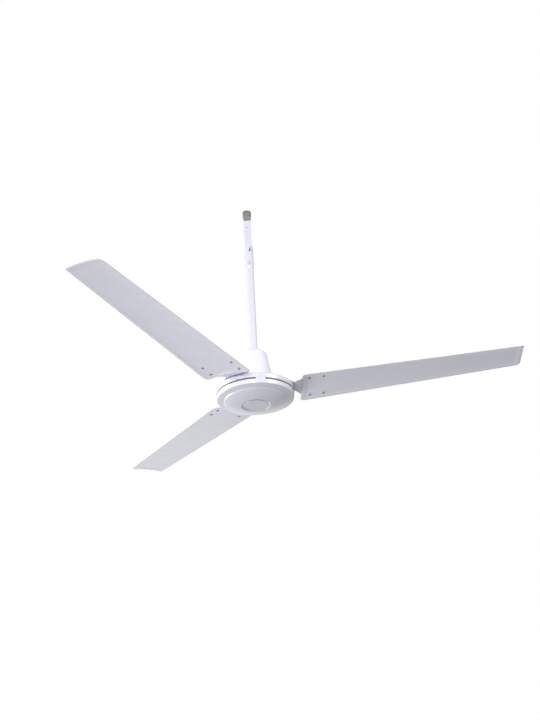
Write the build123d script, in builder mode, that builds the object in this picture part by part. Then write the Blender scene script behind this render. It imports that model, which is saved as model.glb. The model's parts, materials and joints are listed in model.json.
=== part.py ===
from build123d import *
from math import cos, radians, sin, tan
import os

os.makedirs("parts", exist_ok=True)

# A three-bladed ceiling fan that hangs from a hook by a rubber-lined eye.
# The origin is the centre of the eye, +Z is up, and the rotor turns about Z.
# Heights called "up" are counted from a level plane through the gap round the motor.

# Overall sizes
sweep_radius = 700.0
eye_to_gap = 547.5
blade_count = 3
first_blade_angle = -0.8

# Hanger eye and strap
eye_bore_radius = 6.0
loop_radius = 6.8
strap_width = 20.4
strap_thickness = 2.3
strap_slit = 0.3
rubber_width = 25.0
rubber_wall = 3.5
rubber_edge = 9.2
skirt_drop = 19.6
skirt_width = 21.4
skirt_wall = 3.5
skirt_top_share = 0.75
cord_hole_radius = 3.0
cord_hole_drop = 44.0

# Down rod and its wider upper end
rod_radius = 11.25
rod_bore_radius = 8.6
collar_radius = 12.65
collar_bore_radius = 11.3
collar_drop = 106.0
collar_length = 67.5
collar_taper = 4.0
strap_foot_gap = 2.0
slot_width = 4.5
slot_end_radius = 4.5
slot_length = 16.0
slot_angle = -67.5
rod_foot_up = 58.0
tap_hole_radius = 2.0
tap_hole_up = 123.0
tap_hole_angle = -84.0

# Bolts through the rod
bolt_radius = 3.0
bolt_clearance = 0.2
bolt_head_flat = 5.0
bolt_head_height = 4.0
nut_height = 5.0
bolt_tail = 5.0
pin_radius = 0.8
pin_length = 16.0
pin_eye_radius = 2.6
strap_bolt_drop = 161.5
strap_bolt_margin = 8.0
shaft_bolt_up = 80.0

# Canopy that slides on the rod
canopy_foot_up = 32.0
canopy_top_up = 118.5
canopy_foot_radius = 47.7
canopy_top_radius = 33.2
canopy_wall = 2.0
canopy_round = 13.0
canopy_hole_radius = 14.5
grip_lip = 2.0
grip_fit = 0.05

# Shaft
shaft_radius = 8.5
shaft_body_radius = 12.0
shaft_end_radius = 7.5
shaft_bore_radius = 4.5
shaft_top_up = 100.0
lead_hole_radius = 2.5
circlip_thickness = 1.0
circlip_groove = 0.6
circlip_width = 2.0

# Bearings
upper_bearing_up = 20.0
upper_bearing_width = 12.0
upper_bearing_radius = 20.0
lower_bearing_up = -27.0
lower_bearing_width = 11.0
lower_bearing_radius = 17.5
ring_wall = 3.3
shield_gap = 0.3
shield_thickness = 0.8
shield_inset = 0.6

# Stator and rotor packs
pack_bottom_up = -12.0
pack_height = 18.0
rotor_depth = 17.6
air_gap = 0.4
tooth_tip = 4.5
slot_count = 16
slot_depth = 24.5
stator_slot_width = 9.0
slot_mouth_width = 3.0
coil_clearance = 0.4
coil_top = 5.2
coil_bottom = 7.0
bar_count = 36
bar_width = 2.2
bar_depth = 6.0
bar_cover = 1.2
end_ring_width = 8.0
end_ring_height = 3.5

# Motor shells
gap_height = 4.6
gap_drop = 1.0
rim_top_radius = 101.7
rim_taper = 3.0
rim_foot_up = -14.0
shell_side = 5.7
roof_up = 15.0
roof_edge = 4.0
roof_wall = 2.7
cone_margin = 7.0
cone_shelf = 4.5
cone_top_up = 24.0
hub_wall = 5.5
hub_lip = 2.5
hub_skirt = 0.5
hub_hole_radius = 13.0
seat_width = 5.0
shell_fit = 0.1
pad_height = 2.0
pad_margin = 2.0
bridge_count = 3
bridge_angle = 14.0
bridge_inset = 0.3
first_bridge_angle = -81.6
foot_band = 16.2
step_run = 2.9
step_up = -20.8
step_outer_up = -18.6
rim_foot_round = 2.0
step_round = 1.5
dome_foot_radius = 38.0
dome_foot_up = -31.8
dome_bulge = 1.3
well_radius = 31.0
well_up = -28.8
well_round = 2.0
floor_wall = 2.2
floor_rise = 1.0
cap_radius = 29.8
cap_thickness = 1.2
shell_screw_radius = 2.0
shell_screw_head = 3.0
shell_screw_head_height = 2.6
shell_screw_sink = 4.0
shell_screw_length = 20.0

# Blades
blade_sheet = 1.0
panel_step = 1.2
border = 8.0
station_radius = 120.0
station_up = 6.8
cone_angle = 5.14
root_pitch = 4.79
tip_pitch = 3.8
root_trail = 60.3
root_lead = 69.8
tip_trail = 40.3
tip_lead = 57.9
root_trail_radius = 113.0
root_lead_radius = 120.5
root_middle_radius = 124.5
root_middle = -10.0
root_crease = -38.0
tip_crease = -9.0
root_camber = 3.5
tip_camber = 4.5
root_lead_arch = 0.6
root_trail_arch = 1.4
tip_arch = 1.1
blade_run_out = 4.0
corner_root_lead = 13.0
corner_root_trail = 11.0
corner_root_middle = 150.0
corner_tip_lead = 5.0
corner_tip_trail = 13.0

# Blade arms
arm_thickness = 2.0
arm_foot_inset = 12.7
arm_foot_length = 26.0
arm_foot_width = 74.0
arm_plate_start = 118.0
arm_shoulder = 131.0
arm_plate_end = 187.0
arm_neck_lead = 40.0
arm_neck_trail = 37.0
arm_plate_margin = 10.0
arm_corner = 8.0
arm_inset = 0.15
rivet_radius = 2.5
rivet_head_radius = 4.2
rivet_head_height = 1.3
rivet_sink = 0.6
rivet_inner = 139.7
rivet_outer = 176.0
rivet_trail = 38.7
rivet_lead = 43.9
arm_screw_radius = 2.5
arm_screw_flat = 4.0
arm_screw_head = 3.5
arm_screw_length = 7.0
arm_screw_inner_margin = 10.0
arm_screw_outer_margin = 9.0
arm_screw_spread = 20.0

# Connection bracket, terminal block and capacitor under the canopy
bracket_up = 44.0
bracket_sheet = 1.5
bracket_reach = 34.0
bracket_half_width = 13.0
bracket_wide_half = 23.0
bracket_wide_from = 14.0
bracket_hub_radius = 13.0
bracket_hub_height = 8.0
block_length = 24.0
block_width = 17.0
block_height = 12.5
block_start = 15.0
well_count = 3
well_pitch = 7.0
well_depth = 5.0
terminal_radius = 2.3
terminal_height = 3.0
capacitor_length = 34.0
capacitor_width = 14.0
capacitor_height = 23.5
capacitor_round = 2.0
capacitor_start = 17.0
band_sheet = 0.8
band_width = 8.0
band_foot = 4.5

# Places that follow from the sizes above
gap_z = -eye_to_gap
half_gap = gap_height / 2
gap_top = gap_z - gap_drop + half_gap
gap_bottom = gap_z - gap_drop - half_gap
pack_bottom = gap_z + pack_bottom_up
pack_top = pack_bottom + pack_height
collar_top = -collar_drop
collar_bottom = collar_top - collar_length
strap_foot = -strap_bolt_drop - strap_bolt_margin
upper_bearing_z = gap_z + upper_bearing_up
upper_bearing_top = upper_bearing_z + upper_bearing_width
lower_bearing_z = gap_z + lower_bearing_up
lower_bearing_top = lower_bearing_z + lower_bearing_width
rim_gap_radius = rim_top_radius - rim_taper / 2
rim_foot_radius = rim_top_radius - rim_taper
rotor_radius = rim_foot_radius - shell_side
stator_radius = rotor_radius - rotor_depth - air_gap
slot_tip_radius = stator_radius - tooth_tip
slot_root_radius = slot_tip_radius - slot_depth
shell_bore_radius = rotor_radius + shell_fit
seat_radius = rotor_radius - seat_width
shell_screw_circle = (shell_bore_radius + rim_gap_radius) / 2
step_outer_radius = rim_foot_radius - foot_band
step_radius = step_outer_radius - step_run
roof_z = gap_z + roof_up
pad_top = roof_z + pad_height
arm_foot_outer = rim_top_radius - arm_foot_inset
arm_foot_inner = arm_foot_outer - arm_foot_length
arm_foot_middle = (arm_foot_inner + arm_foot_outer) / 2
arm_screw_outer = arm_foot_outer - arm_screw_outer_margin
arm_screw_spots = [
    (arm_foot_inner + arm_screw_inner_margin, 0),
    (arm_screw_outer, arm_screw_spread),
    (arm_screw_outer, -arm_screw_spread),
]
bracket_z = gap_z + bracket_up
bracket_top = bracket_z + bracket_sheet
rubber_radius = loop_radius + strap_thickness + rubber_wall
blade_angles = [first_blade_angle + 360 / blade_count * k for k in range(blade_count)]
bridge_angles = [first_bridge_angle + 360 / bridge_count * k for k in range(bridge_count)]


def finish(piece, name):
    piece.part.label = name
    export_step(piece.part, f"parts/{name}.step")


def outward(angle):
    """The upright plane through the Z axis whose normal points out at this angle."""
    across = (-sin(radians(angle)), cos(radians(angle)), 0)
    out = (cos(radians(angle)), sin(radians(angle)), 0)
    return Plane(origin=(0, 0, 0), x_dir=across, z_dir=out)


def turned(angle):
    return Location((0, 0, 0), (0, 0, angle))


# Hanger strap: a steel strip folded round the eye, with both legs pressed together
def make_strap():
    """The strap without its holes; the same outline shapes the rubber round it."""
    with BuildPart() as strap:
        with BuildSketch(Plane.YZ):
            Circle(loop_radius + strap_thickness)
            with Locations((0, strap_foot / 2)):
                Rectangle(2 * strap_thickness, -strap_foot)
            corners = vertices().filter_by(lambda v: strap_foot / 2 < v.Y < -loop_radius)
            fillet(corners, radius=strap_thickness)
            Circle(loop_radius, mode=Mode.SUBTRACT)
        extrude(amount=strap_width / 2, both=True)
    return strap


strap_blank = make_strap()
with BuildPart() as hanger_strap:
    add(strap_blank.part)
    slit_length = -strap_foot - loop_radius / 2
    with BuildSketch(Plane.YZ):
        with Locations((0, strap_foot + slit_length / 2)):
            Rectangle(strap_slit, slit_length)
    extrude(amount=strap_width, both=True, mode=Mode.SUBTRACT)
    with Locations((0, 0, -cord_hole_drop)):
        Cylinder(cord_hole_radius, 4 * strap_thickness, rotation=(90, 0, 0), mode=Mode.SUBTRACT)
    with Locations((0, 0, -strap_bolt_drop)):
        Cylinder(bolt_radius + bolt_clearance, 4 * strap_thickness, rotation=(90, 0, 0), mode=Mode.SUBTRACT)
finish(hanger_strap, "hanger_strap")


# Rubber moulded round the loop, with the bore for the ceiling hook and a skirt below
with BuildPart() as hook_rubber:
    Cylinder(rubber_radius, rubber_width, rotation=(0, 90, 0))
    fillet(edges().filter_by(GeomType.CIRCLE), radius=rubber_edge)
    with BuildSketch(Plane.YZ):
        with BuildLine():
            skirt_half = strap_thickness + skirt_wall
            skirt_top_half = rubber_radius * skirt_top_share
            Polyline(
                (-skirt_top_half, 0),
                (-skirt_half, -skirt_drop),
                (skirt_half, -skirt_drop),
                (skirt_top_half, 0),
                close=True,
            )
        make_face()
    extrude(amount=skirt_width / 2, both=True)
    Cylinder(eye_bore_radius, rubber_width, rotation=(0, 90, 0), mode=Mode.SUBTRACT)
    add(strap_blank.part, mode=Mode.SUBTRACT)
finish(hook_rubber, "hook_rubber")


# Down rod: a tube whose upper end is widened into a collar for the strap
with BuildPart() as down_rod:
    with BuildSketch(Plane.XZ):
        with BuildLine():
            Polyline(
                (rod_bore_radius, gap_z + rod_foot_up),
                (rod_radius, gap_z + rod_foot_up),
                (rod_radius, collar_bottom - collar_taper),
                (collar_radius, collar_bottom),
                (collar_radius, collar_top),
                (collar_bore_radius, collar_top),
                (collar_bore_radius, strap_foot - strap_foot_gap),
                (rod_bore_radius, strap_foot - strap_foot_gap - collar_taper),
                close=True,
            )
        make_face()
    revolve(axis=Axis.Z)
    with BuildSketch(outward(slot_angle)):
        with Locations((0, collar_top - slot_length / 2)):
            Rectangle(slot_width, slot_length)
        with Locations((0, collar_top - slot_length)):
            Circle(slot_end_radius)
    extrude(amount=2 * collar_radius, mode=Mode.SUBTRACT)
    with BuildSketch(outward(tap_hole_angle)):
        with Locations((0, gap_z + tap_hole_up)):
            Circle(tap_hole_radius)
    extrude(amount=2 * rod_radius, mode=Mode.SUBTRACT)
    with Locations((0, 0, -strap_bolt_drop), (0, 0, gap_z + shaft_bolt_up)):
        Cylinder(bolt_radius + bolt_clearance, 4 * collar_radius, rotation=(90, 0, 0), mode=Mode.SUBTRACT)
finish(down_rod, "down_rod")


# Bolt, nut and split pin through a tube, all along Y
def make_bolt(height, grip):
    """A hexagon bolt along +Y whose head and nut close on a tube of radius grip."""
    head_plane = Plane(origin=(0, -grip, height), x_dir=(1, 0, 0), z_dir=(0, -1, 0))
    tail = 2 * grip + nut_height + bolt_tail
    with BuildPart() as bolt:
        with BuildSketch(head_plane):
            RegularPolygon(bolt_head_flat, 6, major_radius=False)
        extrude(amount=bolt_head_height)
        with BuildSketch(head_plane):
            Circle(bolt_radius)
        extrude(amount=-tail)
        with Locations((0, grip + nut_height + bolt_tail / 2, height)):
            Cylinder(pin_radius, 4 * bolt_radius, rotation=(0, 90, 0), mode=Mode.SUBTRACT)
    return bolt


def make_nut(height, grip):
    """The nut on the far side of the tube."""
    with BuildPart() as nut:
        with BuildSketch(Plane(origin=(0, grip, height), x_dir=(-1, 0, 0), z_dir=(0, 1, 0))):
            RegularPolygon(bolt_head_flat, 6, major_radius=False)
            Circle(bolt_radius, mode=Mode.SUBTRACT)
        extrude(amount=nut_height)
    return nut


def make_pin(height, grip):
    """A split pin along X behind the nut, with its eye at the -X end."""
    pin_y = grip + nut_height + bolt_tail / 2
    with BuildPart() as pin:
        with Locations((-pin_length / 2, pin_y, height)):
            Cylinder(pin_eye_radius, 2 * pin_radius)
            Cylinder(pin_eye_radius / 2, 2 * pin_radius, mode=Mode.SUBTRACT)
        with Locations((pin_eye_radius / 4, pin_y, height)):
            Cylinder(pin_radius, pin_length - pin_eye_radius, rotation=(0, 90, 0))
    return pin


finish(make_bolt(-strap_bolt_drop, collar_radius), "strap_bolt")
finish(make_nut(-strap_bolt_drop, collar_radius), "strap_nut")
finish(make_pin(-strap_bolt_drop, collar_radius), "strap_split_pin")
finish(make_bolt(gap_z + shaft_bolt_up, rod_radius), "shaft_bolt")
finish(make_nut(gap_z + shaft_bolt_up, rod_radius), "shaft_nut")
finish(make_pin(gap_z + shaft_bolt_up, rod_radius), "shaft_split_pin")


# Canopy: a tapered cover with a round shoulder, gripped on the rod by a rubber ring
def canopy_profile(inset):
    """Half of the canopy's section, smaller all round by the inset, with its shoulder rounded."""
    with BuildSketch(Plane.XZ) as profile:
        with BuildLine():
            Polyline(
                (0, gap_z + canopy_foot_up),
                (canopy_foot_radius - inset, gap_z + canopy_foot_up),
                (canopy_top_radius - inset, gap_z + canopy_top_up - inset),
                (0, gap_z + canopy_top_up - inset),
                close=True,
            )
        make_face()
        shoulder = vertices().group_by(Axis.Y)[-1].sort_by(Axis.X)[-1]
        fillet(shoulder, radius=canopy_round - inset)
    return profile


canopy_outside = canopy_profile(0)
canopy_inside = canopy_profile(canopy_wall)
with BuildPart() as lower_canopy:
    revolve(canopy_outside.sketch, axis=Axis.Z)
    revolve(canopy_inside.sketch, axis=Axis.Z, mode=Mode.SUBTRACT)
    with Locations((0, 0, gap_z + canopy_top_up)):
        Cylinder(canopy_hole_radius, 4 * canopy_wall, mode=Mode.SUBTRACT)
finish(lower_canopy, "lower_canopy")

with BuildPart() as canopy_grip:
    canopy_top = gap_z + canopy_top_up
    with BuildSketch(Plane.XZ):
        with BuildLine():
            Polyline(
                (rod_radius + grip_fit, canopy_top - canopy_wall - grip_lip),
                (canopy_hole_radius + grip_lip, canopy_top - canopy_wall - grip_lip),
                (canopy_hole_radius + grip_lip, canopy_top - canopy_wall),
                (canopy_hole_radius, canopy_top - canopy_wall),
                (canopy_hole_radius, canopy_top),
                (rod_radius + grip_fit, canopy_top),
                close=True,
            )
        make_face()
    revolve(axis=Axis.Z)
finish(canopy_grip, "canopy_grip")


# Shaft: stands still, carries the stator and both bearings, and is hollow for the leads
with BuildPart() as motor_shaft:
    shaft_end = lower_bearing_z - circlip_thickness - circlip_groove
    with BuildSketch(Plane.XZ):
        with BuildLine():
            Polyline(
                (0, shaft_end),
                (shaft_end_radius, shaft_end),
                (shaft_end_radius, lower_bearing_z - circlip_thickness),
                (shaft_end_radius - circlip_groove, lower_bearing_z - circlip_thickness),
                (shaft_end_radius - circlip_groove, lower_bearing_z),
                (shaft_end_radius, lower_bearing_z),
                (shaft_end_radius, lower_bearing_top),
                (shaft_body_radius, lower_bearing_top),
                (shaft_body_radius, upper_bearing_z),
                (shaft_radius, upper_bearing_z),
                (shaft_radius, upper_bearing_top),
                (shaft_radius - circlip_groove, upper_bearing_top),
                (shaft_radius - circlip_groove, upper_bearing_top + circlip_thickness),
                (shaft_radius, upper_bearing_top + circlip_thickness),
                (shaft_radius, gap_z + shaft_top_up),
                (0, gap_z + shaft_top_up),
                close=True,
            )
        make_face()
    revolve(axis=Axis.Z)
    lead_hole_z = (pack_top + upper_bearing_z) / 2
    bore_length = gap_z + shaft_top_up - lead_hole_z
    with Locations((0, 0, lead_hole_z + bore_length / 2)):
        Cylinder(shaft_bore_radius, bore_length, mode=Mode.SUBTRACT)
    with Locations((shaft_body_radius, 0, lead_hole_z + lead_hole_radius)):
        Cylinder(lead_hole_radius, 2 * shaft_body_radius, rotation=(0, 90, 0), mode=Mode.SUBTRACT)
    with Locations((0, 0, gap_z + shaft_bolt_up)):
        Cylinder(bolt_radius + bolt_clearance, 4 * shaft_radius, rotation=(90, 0, 0), mode=Mode.SUBTRACT)
finish(motor_shaft, "motor_shaft")


# Bearings: an inner ring on the shaft and an outer ring with two shields in the shell
def make_ring(inner, outer, bottom, height):
    with BuildPart() as ring:
        with BuildSketch(Plane.XY.offset(bottom)):
            Circle(outer)
            Circle(inner, mode=Mode.SUBTRACT)
        extrude(amount=height)
    return ring


def make_shields(inner, outer, bottom, height):
    """Two thin rings that close the bearing at its bottom and its top."""
    with BuildPart() as shields:
        for level in (bottom + shield_inset, bottom + height - shield_inset - shield_thickness):
            with BuildSketch(Plane.XY.offset(level)):
                Circle(outer)
                Circle(inner, mode=Mode.SUBTRACT)
            extrude(amount=shield_thickness)
    return shields


bearings = {
    "upper": (shaft_radius, upper_bearing_radius, upper_bearing_z, upper_bearing_width),
    "lower": (shaft_end_radius, lower_bearing_radius, lower_bearing_z, lower_bearing_width),
}
for place, (bore, outside, bottom, width) in bearings.items():
    raceway = bore + ring_wall
    cup = outside - ring_wall
    finish(make_ring(bore, raceway, bottom, width), f"{place}_bearing_inner")
    finish(make_ring(cup, outside, bottom, width), f"{place}_bearing_outer")
    finish(make_shields(raceway + shield_gap, cup, bottom, width), f"{place}_bearing_shields")
finish(
    make_ring(
        shaft_radius - circlip_groove,
        shaft_radius + circlip_width,
        upper_bearing_top,
        circlip_thickness,
    ),
    "upper_circlip",
)
finish(
    make_ring(
        shaft_end_radius - circlip_groove,
        shaft_end_radius + circlip_width,
        lower_bearing_z - circlip_thickness,
        circlip_thickness,
    ),
    "lower_circlip",
)


# Stator pack with slots that open outwards, and the coils wound through them
def slot_cells(inset, mouth):
    """One slot round the pack for each coil side, smaller by the inset, with or without its mouth."""
    slot_middle = (slot_root_radius + slot_tip_radius) / 2
    with PolarLocations(slot_middle, slot_count):
        Rectangle(slot_depth - 2 * inset, stator_slot_width - 2 * inset)
    if mouth:
        with PolarLocations(slot_tip_radius, slot_count):
            Rectangle(2 * tooth_tip + 2 * air_gap, slot_mouth_width)


with BuildPart() as stator_core:
    with BuildSketch(Plane.XY.offset(pack_bottom)):
        Circle(stator_radius)
        Circle(shaft_body_radius, mode=Mode.SUBTRACT)
    extrude(amount=pack_height)
    with BuildSketch(Plane.XY.offset(pack_bottom)):
        slot_cells(0, True)
    extrude(amount=pack_height, mode=Mode.SUBTRACT)
finish(stator_core, "stator_core")

with BuildPart() as stator_windings:
    with BuildSketch(Plane.XY.offset(pack_bottom)):
        slot_cells(coil_clearance, False)
    extrude(amount=pack_height)
    for level, height in ((pack_top, coil_top), (pack_bottom, -coil_bottom)):
        with BuildSketch(Plane.XY.offset(level)):
            Circle(slot_tip_radius - coil_clearance)
            Circle(slot_root_radius, mode=Mode.SUBTRACT)
        extrude(amount=height)
    rims = edges().filter_by(GeomType.CIRCLE).group_by(Axis.Z)
    fillet(rims[0] + rims[-1], radius=coil_top / 2)
finish(stator_windings, "stator_windings")


# Rotor pack: a ring of steel round the stator, with a cast cage of bars in it
bar_radius = stator_radius + air_gap + bar_cover + bar_depth / 2

with BuildPart() as rotor_core:
    with BuildSketch(Plane.XY.offset(pack_bottom)):
        Circle(rotor_radius)
        Circle(stator_radius + air_gap, mode=Mode.SUBTRACT)
        with PolarLocations(bar_radius, bar_count):
            Rectangle(bar_depth, bar_width, mode=Mode.SUBTRACT)
    extrude(amount=pack_height)
finish(rotor_core, "rotor_core")

with BuildPart() as rotor_cage:
    with BuildSketch(Plane.XY.offset(pack_bottom)):
        with PolarLocations(bar_radius, bar_count):
            Rectangle(bar_depth, bar_width)
    extrude(amount=pack_height)
    for level, height in ((pack_top, end_ring_height), (pack_bottom, -end_ring_height)):
        with BuildSketch(Plane.XY.offset(level)):
            Circle(bar_radius + end_ring_width / 2)
            Circle(bar_radius - end_ring_width / 2, mode=Mode.SUBTRACT)
        extrude(amount=height)
finish(rotor_cage, "rotor_cage")


# Upper shell: rim, roof with three pads for the arms, and the hub over the upper bearing
def ring_sector(inner, outer, bottom, top, angle, spread):
    """A piece of a ring of rectangular section, centred on an angle."""
    with BuildPart() as sector:
        with BuildSketch(Plane.XZ):
            with Locations(((inner + outer) / 2, (bottom + top) / 2)):
                Rectangle(outer - inner, top - bottom)
        revolve(axis=Axis.Z, revolution_arc=spread)
    return sector.part.rotate(Axis.Z, angle - spread / 2)


hub_radius = upper_bearing_radius + hub_wall
hub_top = upper_bearing_top + hub_lip
cone_foot_radius = arm_foot_inner - cone_margin
cone_top_radius = hub_radius + cone_shelf
roof_slope = (cone_top_up - roof_up) / (cone_foot_radius - cone_top_radius)
hub_foot = upper_bearing_z - hub_skirt
inner_cone_radius = cone_foot_radius - (hub_foot - roof_z + roof_wall) / roof_slope

with BuildPart() as upper_shell:
    with BuildSketch(Plane.XZ):
        with BuildLine():
            Polyline(
                (shell_bore_radius, gap_top),
                (rim_gap_radius, gap_top),
                (rim_top_radius, roof_z),
                (cone_foot_radius, roof_z),
                (cone_top_radius, gap_z + cone_top_up),
                (hub_radius, gap_z + cone_top_up),
                (hub_radius, hub_top),
                (hub_hole_radius, hub_top),
                (hub_hole_radius, upper_bearing_top),
                (upper_bearing_radius, upper_bearing_top),
                (upper_bearing_radius, hub_foot),
                (inner_cone_radius, hub_foot),
                (cone_foot_radius, roof_z - roof_wall),
                (seat_radius, roof_z - roof_wall),
                (seat_radius, pack_top),
                (shell_bore_radius, pack_top),
                close=True,
            )
        make_face()
        rim_corner = vertices().sort_by(Axis.X)[-1]
        fillet(rim_corner, radius=roof_edge)
    revolve(axis=Axis.Z)
    with BuildSketch(Plane.XY.offset(roof_z)):
        with PolarLocations(arm_foot_middle - pad_margin, blade_count, start_angle=first_blade_angle):
            Rectangle(arm_foot_length - 2 * pad_margin, arm_foot_width)
        fillet(vertices(), radius=pad_margin)
    extrude(amount=pad_height)
    for angle in blade_angles:
        with BuildSketch(Plane(origin=(0, 0, pad_top)).rotated((0, 0, angle))):
            with Locations(arm_screw_spots):
                Circle(arm_screw_radius)
        extrude(amount=-(arm_screw_length - arm_thickness), mode=Mode.SUBTRACT)
    with BuildSketch(Plane.XY.offset(gap_top)):
        with PolarLocations(shell_screw_circle, bridge_count, start_angle=first_bridge_angle):
            Circle(shell_screw_radius)
    extrude(amount=roof_z - gap_top, mode=Mode.SUBTRACT)
    with BuildSketch(Plane.XY.offset(roof_z)):
        with PolarLocations(shell_screw_circle, bridge_count, start_angle=first_bridge_angle):
            Circle(shell_screw_head + shell_fit)
    extrude(amount=-shell_screw_sink, mode=Mode.SUBTRACT)
finish(upper_shell, "upper_shell")


# Lower shell: the dished cover with its well, the lower bearing's hub and three bridges
bridge_radius = rim_gap_radius - bridge_inset
bridges = [
    ring_sector(shell_bore_radius, bridge_radius, gap_bottom, gap_top, angle, bridge_angle)
    for angle in bridge_angles
]
floor_z = gap_z + well_up
lower_hub_radius = lower_bearing_radius + hub_wall
soft_edges = [
    (rim_foot_radius, rim_foot_up, rim_foot_round),
    (step_outer_radius, step_outer_up, step_round),
    (step_radius, step_up, step_round),
    (dome_foot_radius, dome_foot_up, well_round),
]

with BuildPart() as lower_shell:
    with BuildSketch(Plane.XZ):
        with BuildLine():
            outside = Polyline(
                (shell_bore_radius, gap_bottom),
                (rim_gap_radius, gap_bottom),
                (rim_foot_radius, gap_z + rim_foot_up),
                (step_outer_radius, gap_z + step_outer_up),
                (step_radius, gap_z + step_up),
            )
            dome_middle = (
                (step_radius + dome_foot_radius) / 2,
                gap_z + (step_up + dome_foot_up) / 2 - dome_bulge,
            )
            ThreePointArc(outside @ 1, dome_middle, (dome_foot_radius, gap_z + dome_foot_up))
            inside = Polyline(
                (dome_foot_radius, gap_z + dome_foot_up),
                (well_radius, floor_z),
                (lower_bearing_radius - ring_wall, floor_z),
                (lower_bearing_radius - ring_wall, lower_bearing_z),
                (lower_bearing_radius, lower_bearing_z),
                (lower_bearing_radius, lower_bearing_top),
                (lower_hub_radius, lower_bearing_top),
                (lower_hub_radius, floor_z + floor_wall),
                (dome_foot_radius, gap_z + dome_foot_up + floor_wall + floor_rise),
            )
            inner_middle = (dome_middle[0], dome_middle[1] + floor_wall)
            ThreePointArc(inside @ 1, inner_middle, (step_radius, gap_z + step_up + floor_wall))
            Polyline(
                (step_radius, gap_z + step_up + floor_wall),
                (seat_radius, gap_z + step_outer_up + floor_wall),
                (seat_radius, pack_bottom),
                (shell_bore_radius, pack_bottom),
                (shell_bore_radius, gap_bottom),
            )
        make_face()
        for radius, level, rounding in soft_edges:
            edge_point = vertices().sort_by_distance((radius, gap_z + level))[0]
            fillet(edge_point, radius=rounding)
    revolve(axis=Axis.Z)
    for bridge in bridges:
        add(bridge)
    with BuildSketch(Plane.XY.offset(gap_top)):
        with PolarLocations(shell_screw_circle, bridge_count, start_angle=first_bridge_angle):
            Circle(shell_screw_radius)
    tapped = shell_screw_length - (roof_z - shell_screw_sink - gap_top)
    extrude(amount=-tapped, mode=Mode.SUBTRACT)
finish(lower_shell, "lower_shell")

with BuildPart() as shell_screws:
    with BuildSketch(Plane.XY.offset(roof_z - shell_screw_sink)):
        with PolarLocations(shell_screw_circle, bridge_count, start_angle=first_bridge_angle):
            Circle(shell_screw_head)
    extrude(amount=shell_screw_head_height)
    with BuildSketch(Plane.XY.offset(roof_z - shell_screw_sink)):
        with PolarLocations(shell_screw_circle, bridge_count, start_angle=first_bridge_angle):
            Circle(shell_screw_radius)
    extrude(amount=-shell_screw_length)
finish(shell_screws, "shell_screws")

with BuildPart() as centre_cap:
    with BuildSketch(Plane.XY.offset(floor_z)):
        Circle(cap_radius)
    extrude(amount=-cap_thickness)
    fillet(edges().group_by(Axis.Z)[0], radius=cap_thickness / 2)
finish(centre_cap, "centre_cap")


# Blades: a cambered, twisted sheet whose panel is pressed up inside a flat border
inner_end = root_trail_radius - blade_run_out - border
outer_end = sweep_radius + blade_run_out


def between(radius, root, tip):
    """A size that changes evenly from the station circle to the tip."""
    share = (radius - station_radius) / (sweep_radius - station_radius)
    return root + share * (tip - root)


def sheet_section(radius, low, high):
    """The blade's section at a radius, from one height above its lower face to another."""
    lead = -between(radius, root_lead, tip_lead) - blade_run_out
    trail = between(radius, root_trail, tip_trail) + blade_run_out
    crease = between(radius, root_crease, tip_crease)
    camber = between(radius, root_camber, tip_camber)
    lead_arch = between(radius, root_lead_arch, tip_arch)
    trail_arch = between(radius, root_trail_arch, tip_arch)
    slope = between(radius, tan(radians(root_pitch)), tan(radians(tip_pitch)))
    middle = gap_z + station_up + tan(radians(cone_angle)) * (radius - station_radius)

    def spot(chord, rise):
        return (chord, middle - slope * chord + rise)

    half_lead = (lead + crease) / 2
    half_trail = (crease + trail) / 2
    rises = (low, high)
    leads = [spot(lead, rise) for rise in rises]
    lead_arcs = [spot(half_lead, camber / 2 + lead_arch + rise) for rise in rises]
    crests = [spot(crease, camber + rise) for rise in rises]
    trail_arcs = [spot(half_trail, camber / 2 + trail_arch + rise) for rise in rises]
    trails = [spot(trail, rise) for rise in rises]
    with BuildSketch(Plane(origin=(radius, 0, 0), x_dir=(0, 1, 0), z_dir=(1, 0, 0))) as section:
        with BuildLine():
            ThreePointArc(leads[0], lead_arcs[0], crests[0])
            ThreePointArc(crests[0], trail_arcs[0], trails[0])
            Line(trails[0], trails[1])
            ThreePointArc(trails[1], trail_arcs[1], crests[1])
            ThreePointArc(crests[1], lead_arcs[1], leads[1])
            Line(leads[1], leads[0])
        make_face()
    return section.sketch


def sheet_slab(low, high):
    """The blade's cambered and twisted form, wider and longer than the blade itself."""
    with BuildPart() as slab:
        loft([sheet_section(inner_end, low, high), sheet_section(outer_end, low, high)], ruled=True)
    return slab.part


def plan_prism(corners, radii, inset=0.0):
    """An upright block over a flat outline, with a radius for each corner, for cutting a slab."""
    with BuildPart() as prism:
        with BuildSketch(Plane.XY.offset(gap_z - sweep_radius / 4)):
            with BuildLine():
                Polyline(*corners, close=True)
            make_face()
            if inset:
                offset(amount=-inset, kind=Kind.INTERSECTION)
            for corner, radius in zip(corners, radii):
                nearest = vertices().sort_by_distance(corner)[0]
                fillet(nearest, radius=max(radius - inset, blade_sheet))
        extrude(amount=sweep_radius / 2)
    return prism.part


root_edge_lead = -between(root_lead_radius, root_lead, tip_lead)
root_edge_trail = between(root_trail_radius, root_trail, tip_trail)
blade_corners = [
    (root_lead_radius, root_edge_lead),
    (root_middle_radius, root_middle),
    (root_trail_radius, root_edge_trail),
    (sweep_radius, tip_trail),
    (sweep_radius, -tip_lead),
]
blade_radii = [
    corner_root_lead,
    corner_root_middle,
    corner_root_trail,
    corner_tip_trail,
    corner_tip_lead,
]
blade_prism = plan_prism(blade_corners, blade_radii)
panel_prism = plan_prism(blade_corners, blade_radii, border)
hollow_prism = plan_prism(blade_corners, blade_radii, border + blade_sheet)
rivet_spots = [(r, t) for r in (rivet_inner, rivet_outer) for t in (rivet_trail, -rivet_lead)]

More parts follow.
